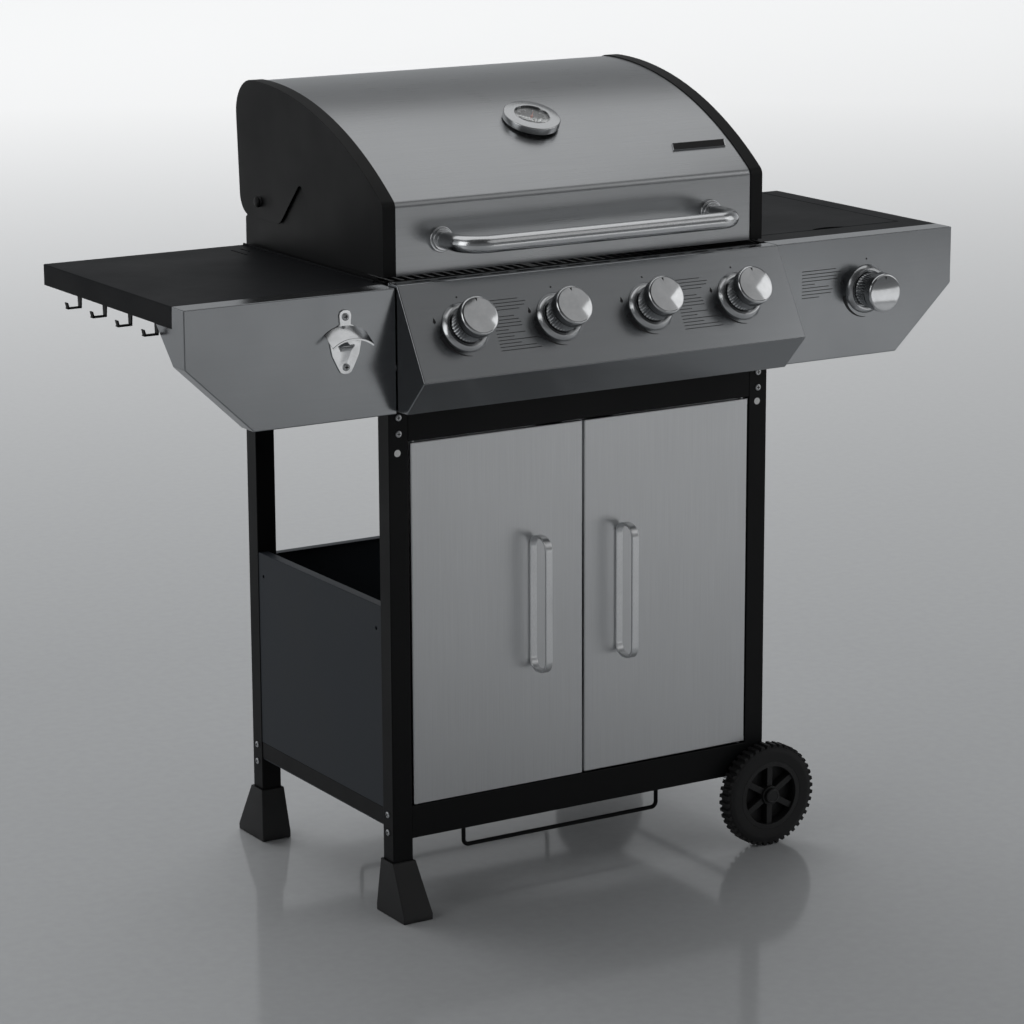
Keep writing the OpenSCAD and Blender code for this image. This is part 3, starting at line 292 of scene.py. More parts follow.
def ink(name, colour):
    """Screen-printed ink, slightly uneven."""
    finish = Finish(name, colour, 0.0, 0.5)
    fine = finish.noise((1500, 1500, 1500), 3.0)
    finish.colour(finish.mix(finish.spread(fine, 0.35, 0.7, 0, 1), shade(colour, 0.7), shade(colour, 1.5)))
    finish.roughness(finish.spread(fine, 0.3, 0.7, 0.42, 0.6))
    return finish.material


def paper(name, colour):
    finish = Finish(name, colour, 0.0, 0.45)
    fibre = finish.noise((900, 2600, 900), 4.0)
    finish.colour(finish.mix(finish.spread(fibre, 0.3, 0.7, 0, 1), shade(colour, 0.9), colour))
    finish.roughness(finish.spread(fibre, 0.3, 0.7, 0.38, 0.52))
    finish.bump(fibre, 0.00003, 0.3)
    return finish.material


def glass(name):
    finish = Finish(name, (0.96, 0.98, 0.98), 0.0, 0.03, Transmission_Weight=1.0, IOR=1.45)
    finish.roughness(finish.spread(finish.noise((60, 60, 60), 4.0), 0.4, 0.75, 0.02, 0.08))
    return finish.material


finishes = {
    "black_powder_coat": powder_coat("black_powder_coat", (0.0035, 0.0037, 0.0041), 0.5),
    "table_coat": powder_coat("table_coat", (0.008, 0.0086, 0.0098), 0.55, 0.4, 0.1),
    "panel_grey_coat": powder_coat("panel_grey_coat", (0.026, 0.031, 0.038), 0.44),
    "black_enamel": enamel("black_enamel", (0.0034, 0.0036, 0.0039), 0.5),
    "black_plastic": moulded("black_plastic", (0.012, 0.012, 0.0125), 0.5),
    "tyre_rubber": moulded("tyre_rubber", (0.009, 0.009, 0.0095), 0.6, 420),
    # stainless_brushed, stainless_lid and stainless_door are one steel given three base colours, darkest for the
    # control and front panels and lightest for the doors: painted shade and painted light.
    "stainless_brushed": brushed("stainless_brushed", (0.27, 0.28, 0.29), 0, 0.2),
    "stainless_lid": brushed("stainless_lid", (0.44, 0.45, 0.46), 0, 0.28),
    "stainless_door": brushed("stainless_door", (0.62, 0.63, 0.64), 2, 0.34),
    "galvanised": galvanised("galvanised", (0.52, 0.53, 0.54)),
    "aluminised": aluminised("aluminised", (0.36, 0.36, 0.36)),
    "grate_enamel": cast_enamel("grate_enamel", (0.012, 0.012, 0.013)),
    "chrome_wire": plated("chrome_wire", (0.70, 0.71, 0.72), 0.12),
    "brass": turned_brass("brass", (0.58, 0.44, 0.22)),
    "knob_chrome": plated("knob_chrome", (0.62, 0.63, 0.64), 0.07),
    "bezel_satin": satin_metal("bezel_satin", (0.56, 0.57, 0.58), 0.2),
    "zinc": plated("zinc", (0.55, 0.56, 0.57), 0.28),
    "handle_steel": brushed("handle_steel", (0.70, 0.71, 0.72), 0, 0.2, 0.08),
    "door_handle_alloy": satin_metal("door_handle_alloy", (0.78, 0.79, 0.80), 0.34),
    "opener_chrome": plated("opener_chrome", (0.66, 0.67, 0.68), 0.14),
    "badge": enamel("badge", (0.003, 0.003, 0.0033), 0.5),
    "print": ink("print", (0.012, 0.012, 0.013)),
    "gap_black": moulded("gap_black", (0.006, 0.006, 0.006), 0.7),
    "dial": ink("dial", (0.012, 0.013, 0.015)),
    "dial_marks": ink("dial_marks", (0.55, 0.56, 0.57)),
    "needle": ink("needle", (0.62, 0.13, 0.06)),
    "sticker": paper("sticker", (0.78, 0.79, 0.78)),
    "lens": glass("lens"),
}
special = {
    "lid_skin": "stainless_lid", "left_table": "table_coat", "right_table": "table_coat",
    "side_burner_lid": "table_coat", "front_tyre": "tyre_rubber", "rear_tyre": "tyre_rubber",
}
finish_of = {n: finishes[special.get(n, slot_of[n])] for n in nodes}
for node_name, obj in nodes.items():
    for holder in obj.material_slots:
        holder.material = finish_of[node_name]


# -------------------------------------------------------------------- meshes

def done(bm, name, crease=35):
    """A mesh from bm, smooth except at its creases."""
    bmesh.ops.recalc_face_normals(bm, faces=bm.faces)
    mesh = bpy.data.meshes.new(name)
    bm.to_mesh(mesh)
    bm.free()
    mesh.shade_smooth()
    mesh.set_sharp_from_angle(angle=math.radians(crease))
    return mesh


def piece(name, mesh, finish, body, place=None):
    """A new piece on a CAD body. place moves its mesh into the row frame."""
    if place:
        mesh.transform(place)
    mesh.materials.append(finishes[finish])
    obj = bpy.data.objects.new(name, mesh)
    bpy.context.scene.collection.objects.link(obj)
    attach(obj, body)
    return obj


def merged(node):
    """A CAD node's mesh with its split vertices joined and its flat faces whole."""
    bm = bmesh.new()
    bm.from_mesh(nodes[node].data)
    bmesh.ops.remove_doubles(bm, verts=bm.verts, dist=0.000002)
    bmesh.ops.dissolve_limit(bm, angle_limit=math.radians(0.15), verts=bm.verts, edges=bm.edges)
    return bm


def rounded(node, width, shortest=6 * MM):
    """Stands for a CAD node, with its long outer edges rounded as bent sheet and tube are."""
    bm = merged(node)
    bm.normal_update()
    sharp = [
        e for e in bm.edges
        if len(e.link_faces) == 2 and e.is_convex and e.calc_length() > shortest
        and e.calc_face_angle(0) > math.radians(35)
    ]
    wide = []
    narrow = []
    for e in sharp:
        least = min(f.calc_area() / e.calc_length() for f in e.link_faces)
        (wide if least > 2.5 * width else narrow).append(e)
    for group, offset in ((wide, width), (narrow, min(width, 0.25 * MM))):
        bmesh.ops.bevel(
            bm, geom=[e for e in group if e.is_valid], offset=offset, offset_type="OFFSET",
            segments=3, profile=0.5, affect="EDGES", clamp_overlap=False
        )
    mesh = done(bm, node + "_rounded", 30)
    if "custom_normal" in mesh.attributes:
        mesh.attributes.remove(mesh.attributes["custom_normal"])
    mesh.materials.clear()
    mesh.materials.append(finish_of[node])
    obj = bpy.data.objects.new(node + "_rounded", mesh)
    flat = obj.modifiers.new("flat_faces_stay_flat", "WEIGHTED_NORMAL")
    flat.keep_sharp = True
    flat.weight = 100
    bpy.context.scene.collection.objects.link(obj)
    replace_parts(obj, node)
    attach(obj, body_of[node])
    return obj


def lathe(profile, steps=96, ribs=0):
    """A profile of (radius, height, rib depth) points turned about the z axis."""
    bm = bmesh.new()
    rings = []
    for point in profile:
        radius, height = point[0], point[1]
        depth = point[2] if len(point) > 2 else 0
        if radius < 1e-7:
            rings.append([bm.verts.new((0, 0, height))] * steps)
            continue
        ring = []
        for k in range(steps):
            a = 2 * math.pi * k / steps
            r = radius - depth * (0.5 - 0.5 * math.cos(ribs * a))
            ring.append(bm.verts.new((r * math.cos(a), r * math.sin(a), height)))
        rings.append(ring)
    for low, high in zip(rings, rings[1:]):
        for k in range(steps):
            after = (k + 1) % steps
            corners = list(dict.fromkeys([low[k], low[after], high[after], high[k]]))
            if len(corners) > 2:
                bm.faces.new(corners)
    return bm


def fillet(radius, height, size, start, end, steps=5):
    """Points of an arc of a lathe's profile, about (radius, height)."""
    turn = [math.radians(start + (end - start) * k / steps) for k in range(steps + 1)]
    return [(radius + size * math.cos(a), height + size * math.sin(a)) for a in turn]


def plate(points, thickness):
    """A flat piece of an outline in x and y, standing on z = 0."""
    bm = bmesh.new()
    face = bm.faces.new([bm.verts.new((x, y, 0)) for x, y in points])
    raised = bmesh.ops.extrude_face_region(bm, geom=[face])["geom"]
    tops = [v for v in raised if isinstance(v, bmesh.types.BMVert)]
    bmesh.ops.translate(bm, verts=tops, vec=(0, 0, thickness))
    return bm


def circle(radius, steps=32, x=0.0, y=0.0):
    turn = [2 * math.pi * k / steps for k in range(steps)]
    return [(x + radius * math.cos(a), y + radius * math.sin(a)) for a in turn]


def joined(parts):
    """One bmesh of several."""
    whole = bmesh.new()
    for part in parts:
        mesh = bpy.data.meshes.new("part")
        part.to_mesh(mesh)
        part.free()
        whole.from_mesh(mesh)
        bpy.data.meshes.remove(mesh)
    return whole


def moved(bm, place):
    bmesh.ops.transform(bm, matrix=place, verts=bm.verts)
    return bm


def facing(origin, out, side=Vector((1, 0, 0))):
    """A frame at origin whose z axis points out, and whose x axis is near side."""
    z = Vector(out).normalized()
    x = (side - z * side.dot(z)).normalized()
    y = z.cross(x)
    turn = Matrix((x, y, z)).transposed().to_4x4()
    return Matrix.Translation(origin) @ turn


def axis_of(node):
    """A frame on the axis of a round node that faces up, with z = 0 at the mean of its vertices, and the vertices
    in that frame.
    """
    bm = merged(node)
    centre = sum((v.co for v in bm.verts), Vector()) / len(bm.verts)
    out = sum((f.normal * f.calc_area() for f in bm.faces if f.normal.z > 0.6), Vector())
    place = facing(centre, out)
    back = place.inverted()
    reach = [(back @ v.co) for v in bm.verts]
    bm.free()
    return place, reach


# --------------------------------------------------------------- rounded CAD

for node_name, width in {
    "legs": 1.6, "upper_rails": 1.5, "lower_rails": 1.5, "side_panels": 1.0, "rear_panel": 1.0,
    "feet": 1.6, "left_table": 1.6, "right_table": 1.3, "side_burner_lid": 1.0,
    "left_front_panel": 1.4, "right_front_panel": 1.4, "control_panel": 1.6,
    "left_door": 1.8, "right_door": 1.8, "bottom_shelf": 0.8, "drip_tray": 0.8,
    "axle_carriers": 1.0,
}.items():
    rounded(node_name, width * MM)
for node_name, width in {
    "left_door_handle": 1.1, "right_door_handle": 1.1, "tool_hooks": 0.5, "bottle_opener": 0.5,
    "front_tyre": 0.4, "rear_tyre": 0.4, "front_wheel": 0.6, "rear_wheel": 0.6, "lid_skin": 0.3,
    "lid_caps": 0.4,
}.items():
    rounded(node_name, width * MM, 0.5 * MM)


# --------------------------------------------------------------------- knobs

knob_5 = Vector(joints["knob_5_turn"]["pos_m"])
knob_low, knob_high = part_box("knob_5")
knob_r = (knob_high.x - knob_low.x) / 2
knob_h = knob_5.y - knob_low.y
bezel_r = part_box("knob_bezels")[1].x - knob_5.x
bezel_h = 7 * MM
stem_r = 4 * MM


def knob_place(i):
    joint = joints[f"knob_{i}_turn"]
    return facing(Vector(joint["pos_m"]), joint["axis"])


def knob_cap():
    """Chromed cap: crowned face, rolled edge and a plain band."""
    edge = 3.5 * MM
    crown = 1.4 * MM
    low = knob_h - 17 * MM
    face = [
        ((knob_r - edge) * (1 - t), knob_h - crown * (1 - t) ** 2) for t in (0.25, 0.5, 0.75, 1)
    ]
    return lathe(
        [(knob_r - 3 * MM, low + 0.6 * MM), (knob_r - 0.8 * MM, low)]
        + fillet(knob_r - 0.8 * MM, low + 0.8 * MM, 0.8 * MM, -90, 0, 3)
        + fillet(knob_r - edge, knob_h - crown - edge, edge, 0, 90, 7) + face
    )


def knob_skirt():
    """Ribbed grip under the cap, open below."""
    r = knob_r - 3.4 * MM
    low = 4 * MM
    high = knob_h - 16.2 * MM
    rib = 0.7 * MM
    return lathe([
        (r - 2.4 * MM, high - 4 * MM), (r - 2.4 * MM, low), (r - 0.5 * MM, low), (r, low + 0.5 * MM),
        (r, low + 3 * MM), (r - 0.3 * MM, low + 3.6 * MM, rib), (r - 0.3 * MM, high - 2 * MM, rib),
        (r - 0.3 * MM, high, rib)
    ], 288, 36)


def knob_core():
    """The stem and the inner boss of a knob."""
    return lathe([
        (0, -30 * MM), (stem_r, -30 * MM), (stem_r, 19 * MM), (8 * MM, 19 * MM),
        (8 * MM, knob_h - 17 * MM), (knob_r - 4 * MM, knob_h - 17 * MM),
        (knob_r - 4 * MM, knob_h - 15 * MM), (0, knob_h - 15 * MM)
    ], 64)


def knob_mark():
    """The sunk pointer at the top of the cap."""
    r = knob_r - 6.5 * MM
    half = 1.3 * MM
    return moved(
        plate([(-half, r + 2.4 * MM), (0, r - 2.6 * MM), (half, r + 2.4 * MM)], 0.5 * MM),
        Matrix.Translation((0, 0, knob_h - 1.35 * MM))
    )


def bezel():
    inner = knob_r - 1.3 * MM
    slope = 4.5 * MM
    base = 0.02 * MM
    soft = 0.8 * MM
    return lathe(
        [(inner, base), (bezel_r, base), (bezel_r, 1.2 * MM), (bezel_r - 0.3 * MM, 2.0 * MM)]
        + [(bezel_r - slope + soft, bezel_h - soft * 1.2)]
        + fillet(bezel_r - slope - soft, bezel_h - soft, soft, 40, 90, 4)
        + fillet(inner + soft, bezel_h - soft, soft, 90, 180, 4) + [(inner, base)]
    )


for i in range(1, 6):
    place = knob_place(i)
    cap = piece(f"knob_cap_{i}", done(knob_cap(), "cap"), "knob_chrome", f"knob_{i}",
                place)
    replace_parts(cap, f"knob_{i}")
    piece(f"knob_skirt_{i}", done(knob_skirt(), "skirt", 60), "knob_chrome", f"knob_{i}",
          place)
    piece(f"knob_core_{i}", done(knob_core(), "core"), "gap_black", f"knob_{i}", place)
    piece(f"knob_pointer_{i}", done(knob_mark(), "pointer"), "gap_black", f"knob_{i}",
          place)
bezels = [moved(bezel(), knob_place(i)) for i in range(1, 6)]
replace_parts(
    piece("bezel_rings", done(joined(bezels), "bezels"), "bezel_satin", "cart"),
    "knob_bezels"
)


# -------------------------------------------------------------------- prints

ink_height = 0.06 * MM


def flame(x, y, size):
    """Outline of a small flame."""
    shape = [(0, 1), (0.28, 0.45), (0.46, 0.05), (0.4, -0.45), (0, -0.8), (-0.42, -0.45),
             (-0.44, 0), (-0.2, 0.2), (-0.16, 0.55)]
    return [(x + size * a, y + size * b) for a, b in shape]


def wedge(r, start, end, thin, thick):
    """Outline of an arc that grows from thin to thick."""
    steps = 20
    outer = []
    inner = []
    for k in range(steps + 1):
        t = k / steps
        a = math.radians(start + (end - start) * t)
        half = (thin + (thick - thin) * t) / 2
        outer.append(((r + half) * math.cos(a), (r + half) * math.sin(a)))
        inner.append(((r - half) * math.cos(a), (r - half) * math.sin(a)))
    return outer + inner[::-1]


def lines(x, y, widths, step, tall):
    """Outlines of plain rules in place of the printed instructions."""
    rows = []
    for k, wide in enumerate(widths):
        top = y - k * step
        rows.append([(x, top - tall), (x + wide, top - tall), (x + wide, top), (x, top)])
    return rows


def knob_prints(i):
    r = bezel_r + 5.5 * MM
    marks = [
        circle(1.4 * MM, 24, -1 * MM, bezel_r + 8 * MM),
        flame(-bezel_r - 9 * MM, 13 * MM, 5 * MM),
        wedge(r, 268, 192, 0.5 * MM, 5.6 * MM),
    ]
    if i in (1, 3):
        wide = [46, 57, 54, 45, 9, 34, 40, 42, 42, 20, 44, 26, 66, 34, 56, 62]
        marks += lines(43 * MM, 33 * MM, [w * MM for w in wide], 4.7 * MM, 1.0 * MM)
    if i == 5:
        wide = [58, 66, 60, 61, 22, 46, 52, 50, 30]
        marks += lines(-112 * MM, 34 * MM, [w * MM for w in wide], 4.7 * MM, 1.0 * MM)
    return [moved(plate(outline, ink_height), knob_place(i)) for outline in marks]


prints = [bm for i in range(1, 6) for bm in knob_prints(i)]
piece("panel_prints", done(joined(prints), "prints"), "print", "cart")


# --------------------------------------------------------------- thermometer

gauge_place, gauge_reach = axis_of("thermometer")
gauge_r = max(math.hypot(p.x, p.y) for p in gauge_reach)
gauge_top = max(p.z for p in gauge_reach)
gauge_low = gauge_top - 10.6 * MM
gauge_place = gauge_place @ Matrix.Translation((0, 0, gauge_low))
gauge_tall = gauge_top - gauge_low
dial_r = 24.5 * MM
dial_z = 5 * MM


def gauge_ring():
    low = 0.8 * MM
    soft = 1.6 * MM
    return lathe(
        [(dial_r, dial_z - 2 * MM), (gauge_r - 4 * MM, 0), (gauge_r - low, 0)]
        + fillet(gauge_r - low, low, low, -90, 0, 3)
        + fillet(gauge_r - soft, gauge_tall - soft - 0.9 * MM, soft, 0, 84, 6)
        + [(dial_r + 1.6 * MM, gauge_tall)]
        + fillet(dial_r + 0.9 * MM, gauge_tall - 0.9 * MM, 0.9 * MM, 90, 180, 4)
        + [(dial_r, dial_z - 2 * MM)], 128
    )


def gauge_marks():
    """Ticks round the dial, longer at every fifth."""
    count = 41
    marks = []
    for k in range(count):
        a = math.radians(225 - 270 * k / (count - 1))
        long = k % 5 == 0
        inner = (16.5 if long else 19) * MM
        half = (0.5 if long else 0.22) * MM
        along = Vector((math.cos(a), math.sin(a)))
        across = Vector((-along.y, along.x)) * half
        ends = (along * inner - across, along * 21.5 * MM - across,
                along * 21.5 * MM + across, along * inner + across)
        marks.append(plate([tuple(p) for p in ends], 0.1 * MM))
    zone = wedge(13 * MM, 200, 340, 1.2 * MM, 1.2 * MM)
    return joined(marks + [plate(zone, 0.1 * MM)])


def gauge_needle():
    points = [(-0.9, -5), (0.9, -5), (0.55, 0), (0.12, 18), (-0.12, 18), (-0.55, 0)]
    turn = Matrix.Rotation(math.radians(-38), 4, "Z")
    flat = plate([(x * MM, y * MM) for x, y in points], 0.3 * MM)
    hub = lathe([(2.2 * MM, 0), (2.2 * MM, 1 * MM), (1.6 * MM, 1.4 * MM), (0, 1.5 * MM)], 40)
    return moved(joined([moved(flat, turn), hub]), Matrix.Translation((0, 0, dial_z + 0.5 * MM)))


def gauge_stem():
    nut_r = 8 * MM
    rod_r = 3.5 * MM
    return lathe([
        (0, 2 * MM), (rod_r, 2 * MM), (nut_r, 2 * MM), (nut_r, 0), (rod_r, -1.5 * MM),
        (rod_r, -58 * MM), (2.6 * MM, -60.5 * MM), (0, -61 * MM)
    ], 48)


gauge = piece("gauge_ring", done(gauge_ring(), "gauge"), "bezel_satin", "lid",
              gauge_place)
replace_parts(gauge, "thermometer")
face = lathe([(0, dial_z), (dial_r + 0.4 * MM, dial_z), (dial_r + 0.4 * MM, dial_z - 1 * MM),
              (0, dial_z - 1 * MM)])
piece("gauge_dial", done(face, "dial"), "dial", "lid", gauge_place)
piece("gauge_marks", done(moved(gauge_marks(), Matrix.Translation((0, 0, dial_z))), "marks"),
      "dial_marks", "lid", gauge_place)
piece("gauge_needle", done(gauge_needle(), "needle"), "needle", "lid", gauge_place)
piece("gauge_stem", done(gauge_stem(), "stem"), "zinc", "lid", gauge_place)
lens_z = gauge_tall - 2.6 * MM
lens_shape = lathe([(0, lens_z + 1.2 * MM), (12 * MM, lens_z + 1.0 * MM), (20 * MM, lens_z + 0.6 * MM),
                    (dial_r + 0.3 * MM, lens_z), (dial_r + 0.3 * MM, lens_z - 1 * MM),
                    (0, lens_z - 1 * MM)])
piece("gauge_lens", done(lens_shape, "lens"), "lens", "lid", gauge_place)


# --------------------------------------------------------------------- badge

badge_place, badge_reach = axis_of("badge_plate")
badge_top = max(p.z for p in badge_reach)
corners = sorted(
    {(round(p.x, 5), round(p.y, 5)) for p in badge_reach if p.z > badge_top - 0.1 * MM},
    key=lambda p: math.atan2(p[1], p[0])
)
badge_thick = badge_top - min(p.z for p in badge_reach)
rim = plate(corners, badge_thick)
tops = [f for f in rim.faces if abs(f.calc_center_median().z - badge_thick) < 0.01 * MM]
bmesh.ops.inset_region(rim, faces=tops, thickness=0.8 * MM, depth=0)
bmesh.ops.translate(rim, verts=[v for f in tops for v in f.verts], vec=(0, 0, -0.6 * MM))
badge_low = badge_place @ Matrix.Translation((0, 0, badge_top - badge_thick))
badge = piece("badge_rim", done(rim, "rim"), "bezel_satin", "lid", badge_low)
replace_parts(badge, "badge_plate")
inset = [Vector(c) - Vector(c).normalized() * 1.0 * MM for c in corners]
field = plate([(v.x * 0.995, v.y * 0.985) for v in inset], 0.4 * MM)
piece("badge_field", done(moved(field, Matrix.Translation((0, 0, badge_thick - 0.7 * MM))), "field"),
      "badge", "lid", badge_low)


# -------------------------------------------------- screws, bolts and flanges

def islands(node):
    """The lowest and highest corner of each separate solid of a node."""
    bm = merged(node)
    left = set(bm.verts)
    boxes = []
    while left:
        group = [left.pop()]
        for v in group:
            for e in v.link_edges:
                other = e.other_vert(v)
                if other in left:
                    left.remove(other)
                    group.append(other)
        low = Vector([min(v.co[k] for v in group) for k in range(3)])
        high = Vector([max(v.co[k] for v in group) for k in range(3)])
        boxes.append((low, high))
    bm.free()
    return sorted(boxes, key=lambda b: tuple(round(c, 5) for c in b[0]))


def pan_head(r, tall):
    """A domed head, its seat at z = 0, and a thin flat cross on its top as painted shade in place of a cross
    recess.
    """
    cross = 0.55 * r
    arm = 0.16 * r
    head = lathe([
        (0, -5 * MM), (0.5 * r, -5 * MM), (0.5 * r, 0), (r, 0), (r, 0.45 * tall),
        (0.93 * r, 0.72 * tall), (0.75 * r, 0.9 * tall), (0.45 * r, tall), (0, tall)
    ], 48)
    # Thin flat bars, coloured near-black below: painted shade standing in for the cross recess.
    slots = []
    for turn in (35, 125):
        bar = plate([(-cross, -arm), (cross, -arm), (cross, arm), (-cross, arm)], 0.06 * MM)
        spin = Matrix.Rotation(math.radians(turn), 4, "Z")
        slots.append(moved(bar, Matrix.Translation((0, 0, tall)) @ spin))
    return head, joined(slots)


heads = []
painted_recess_shade = []
for low, high in islands("frame_screws"):
    size = high - low
    middle = (low + high) / 2
    k = min(range(3), key=lambda j: size[j])
    out = Vector((0, 0, 0))
    out[k] = math.copysign(1, middle.x) if k == 0 else -1
    r = max(size) / 2
    tall = 2 * MM
    seat = middle + out * (size[k] / 2 - tall)
    head, slots = pan_head(r, tall)
    heads.append(moved(head, facing(seat, out, Vector((0.6, 0, 0.8)))))
    painted_recess_shade.append(moved(slots, facing(seat, out, Vector((0.6, 0, 0.8)))))
screws = piece("screw_heads", done(joined(heads), "heads"), "zinc", "cart")
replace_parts(screws, "frame_screws")
# Near-black crosses on the heads: painted shade of the cross recesses.
piece("screw_painted_recess_shade", done(joined(painted_recess_shade), "painted_recess_shade"), "gap_black", "cart")

bolt_low, bolt_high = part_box("lid_hinge_bolts")
bolt_y = (bolt_low.y + bolt_high.y) / 2
bolt_z = (bolt_low.z + bolt_high.z) / 2
domes = []
for x, side in ((bolt_low.x, -1), (bolt_high.x, 1)):
    dome = lathe([(7.6 * MM, -1.2 * MM), (7.6 * MM, 0.4 * MM), (7.1 * MM, 1.4 * MM),
                  (5.4 * MM, 2.4 * MM), (3 * MM, 3 * MM), (0, 3.2 * MM)], 64)
    domes.append(moved(dome, facing(Vector((x, bolt_y, bolt_z)), (side, 0, 0), Vector((0, 1, 0)))))
piece("hinge_bolt_domes", done(joined(domes), "domes"), "black_enamel", "cart")

flange_low, flange_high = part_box("handle_flanges")
flange_r = (flange_high.z - flange_low.z) / 2
flange_z = (flange_high.z + flange_low.z) / 2
rings = []
for x in (flange_low.x + flange_r, flange_high.x - flange_r):
    tall = flange_high.y - flange_low.y
    small = flange_r - 2.7 * MM
    ring = lathe(
        [(11 * MM, 0), (flange_r, 0), (flange_r, 3.4 * MM)]
        + fillet(flange_r - 1 * MM, 3.8 * MM, 1 * MM, 0, 90, 4)
        + [(small, 4.8 * MM), (small - 0.5 * MM, 4.9 * MM), (small - 0.5 * MM, 5.5 * MM),
           (small, 5.6 * MM)]
        + fillet(small - 1 * MM, tall - 1 * MM, 1 * MM, 0, 90, 4) + [(11 * MM, tall)], 96
    )
    rings.append(moved(ring, facing(Vector((x, flange_high.y, flange_z)), (0, -1, 0))))
flanges = piece("handle_collars", done(joined(rings), "collars"), "handle_steel", "lid")
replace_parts(flanges, "handle_flanges")

caps_low, caps_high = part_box("axle_caps")
wheel_pos = Vector(joints["front_wheel_spin"]["pos_m"])
hubs = []
for y, out in ((caps_low.y, -1), (caps_high.y, 1)):
    hub = lathe([(11 * MM, -4 * MM), (11 * MM, -1.2 * MM), (10.2 * MM, -0.3 * MM), (8 * MM, 0),
                 (7.4 * MM, -0.5 * MM), (4 * MM, -0.5 * MM), (0, -0.4 * MM)], 64)
    hubs.append(moved(hub, facing(Vector((wheel_pos.x, y, wheel_pos.z)), (0, out, 0))))
hub_caps = piece("hub_caps", done(joined(hubs), "hubs"), "black_plastic", "cart")
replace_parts(hub_caps, "axle_caps")

leg_low, leg_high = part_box("legs")
top_rail_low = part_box("left_door")[1].z
left_spot = (leg_low.x + 13.3 * MM, 11.9 * MM)
right_spot = (leg_high.x - 15.9 * MM, 5.6 * MM)
for side, (x, drop) in (("left", left_spot), ("right", right_spot)):
    disc = lathe([(0, 0), (4.8 * MM, 0), (4.8 * MM, 0.08 * MM), (4.5 * MM, 0.18 * MM),
                  (0, 0.2 * MM)], 48)
    spot = facing(Vector((x, leg_low.y, top_rail_low - drop)), (0, -1, 0))
    piece(f"sticker_{side}", done(disc, "sticker"), "sticker", "cart", spot)


# --------------------------------------------------------------------- stage

def floor():
    """Plain floor with painted shade: mid grey under and around the grill, pale far from it."""
    finish = Finish("studio_floor", (0.50, 0.51, 0.52), 0.0, 0.1, Specular_IOR_Level=0.5)
    reach = finish.node("ShaderNodeVectorMath")
    reach.operation = "LENGTH"
    finish.link(finish.where, reach.inputs[0])
    grain = finish.noise((60, 60, 60), 3.0)
    # Painted shade: the floor colour is darker near the grill and fades to pale with distance from it.
    near = finish.mix(finish.spread(grain, 0.3, 0.7, 0, 1), (0.42, 0.43, 0.44), (0.44, 0.45, 0.46))
    painted_shade_fade = finish.spread(reach.outputs["Value"], 1.2, 9.0, 0, 1)
    finish.colour(finish.mix(painted_shade_fade, near, (0.9, 0.9, 0.9)))
    half = 40.0
    bm = bmesh.new()
    corner = [(-half, -half), (half, -half), (half, half), (-half, half)]
    bm.faces.new([bm.verts.new((x, y, 0)) for x, y in corner])
    mesh = done(bm, "floor")
    mesh.materials.append(finish.material)
    obj = bpy.data.objects.new("floor", mesh)
    bpy.context.scene.collection.objects.link(obj)


def softbox(name, place, target, wide, tall, power, mirrored=True):
    """A soft light. Unless mirrored, glossy surfaces don't show it."""
    light = bpy.data.lights.new(name, "AREA")
    light.shape = "RECTANGLE"
    light.size = wide
    light.size_y = tall
    light.energy = power
    obj = bpy.data.objects.new(name, light)
    bpy.context.scene.collection.objects.link(obj)
    obj.visible_camera = False
    obj.visible_glossy = mirrored
    obj.location = place
    obj.rotation_mode = "QUATERNION"
    obj.rotation_quaternion = (Vector(target) - Vector(place)).to_track_quat("-Z", "Y")


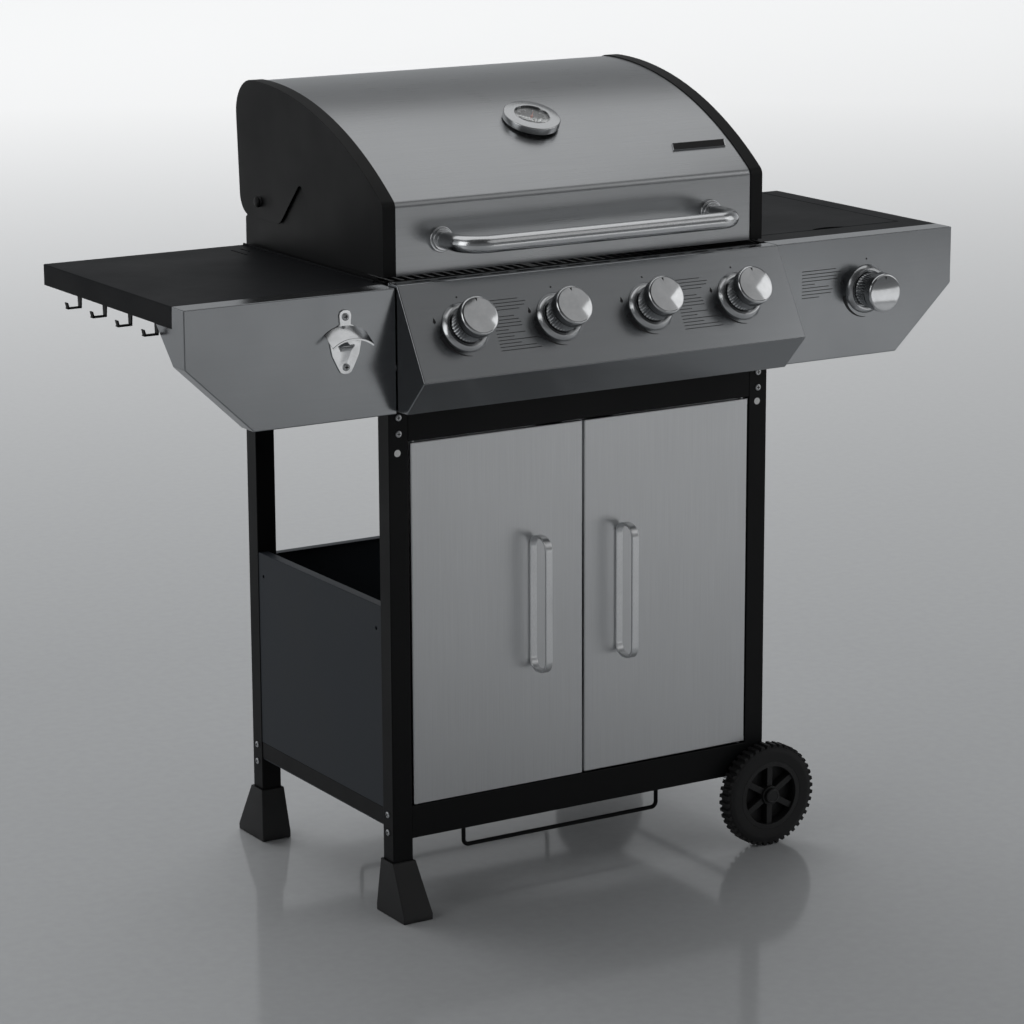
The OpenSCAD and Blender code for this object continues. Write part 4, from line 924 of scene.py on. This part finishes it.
def studio():
    """A backdrop that is bright behind the grill and dark above and in front, and soft lights."""
    world = bpy.data.worlds.new("studio")
    world.use_nodes = True
    tree = world.node_tree
    sky = tree.nodes["Background"]
    sky.inputs["Color"].default_value = (0.84, 0.86, 0.88, 1)
    direction = tree.nodes.new("ShaderNodeTexCoord")
    parts = tree.nodes.new("ShaderNodeSeparateXYZ")
    total = tree.nodes.new("ShaderNodeMath")
    total.operation = "MULTIPLY"
    tree.links.new(direction.outputs["Generated"], parts.inputs["Vector"])
    for axis, start, end, low, high, slot in (
        ("Z", 0.05, 0.55, 1.0, 0.3, 0), ("Y", -0.6, 0.6, 0.16, 0.6, 1)
    ):
        fall = tree.nodes.new("ShaderNodeMapRange")
        fall.inputs["From Min"].default_value = start
        fall.inputs["From Max"].default_value = end
        fall.inputs["To Min"].default_value = low
        fall.inputs["To Max"].default_value = high
        tree.links.new(parts.outputs[axis], fall.inputs["Value"])
        tree.links.new(fall.outputs["Result"], total.inputs[slot])
    tree.links.new(total.outputs["Value"], sky.inputs["Strength"])
    bpy.context.scene.world = world
    bpy.context.scene.view_settings.view_transform = "Standard"
    middle = (0, 0, 0.6)
    softbox("overhead", (0.2, 0.8, 3.4), (0, 0.1, 0), 4.2, 3.0, 24)
    softbox("far_floor", (6.0, 13.0, 7.0), (6.0, 13.0, 0), 26.0, 16.0, 3000, False)
    softbox("left_key", (-3.4, -0.6, 2.0), middle, 1.8, 2.4, 16)
    softbox("right_key", (3.6, -2.0, 2.2), middle, 2.4, 2.6, 14)
    softbox("front_fill", (0.6, -4.6, 2.4), middle, 3.6, 2.4, 24, False)
    softbox("high_front", (1.8, -2.5, 2.9), (0, -0.25, 0.8), 2.6, 2.0, 5.5)
    softbox("low_front", (1.9, -2.6, 0.25), (0, 0, 0.3), 3.0, 0.4, 2.4)


camera_place = (-2.5281, -4.1416, 1.6513)
camera_yaw = -31.38
camera_pitch = -13.43
camera_roll = -0.25
camera_lens = 124.66


def camera():
    """The camera, at the angle of the reference view."""
    yaw = math.radians(camera_yaw)
    pitch = math.radians(camera_pitch)
    roll = math.radians(camera_roll)
    ahead = Vector((
        -math.sin(yaw) * math.cos(pitch), math.cos(yaw) * math.cos(pitch), math.sin(pitch)
    ))
    level = Vector((math.cos(yaw), math.sin(yaw), 0))
    above = level.cross(ahead)
    right = level * math.cos(roll) + above * math.sin(roll)
    up = above * math.cos(roll) - level * math.sin(roll)
    turn = Matrix((right, up, -ahead)).transposed().to_4x4()
    lens = bpy.data.cameras.new("camera")
    lens.sensor_width = 36
    lens.lens = camera_lens
    lens.clip_start = 0.1
    lens.clip_end = 100
    obj = bpy.data.objects.new("camera", lens)
    bpy.context.scene.collection.objects.link(obj)
    obj.matrix_world = Matrix.Translation(camera_place) @ turn
    bpy.context.scene.camera = obj


floor()
studio()
camera()
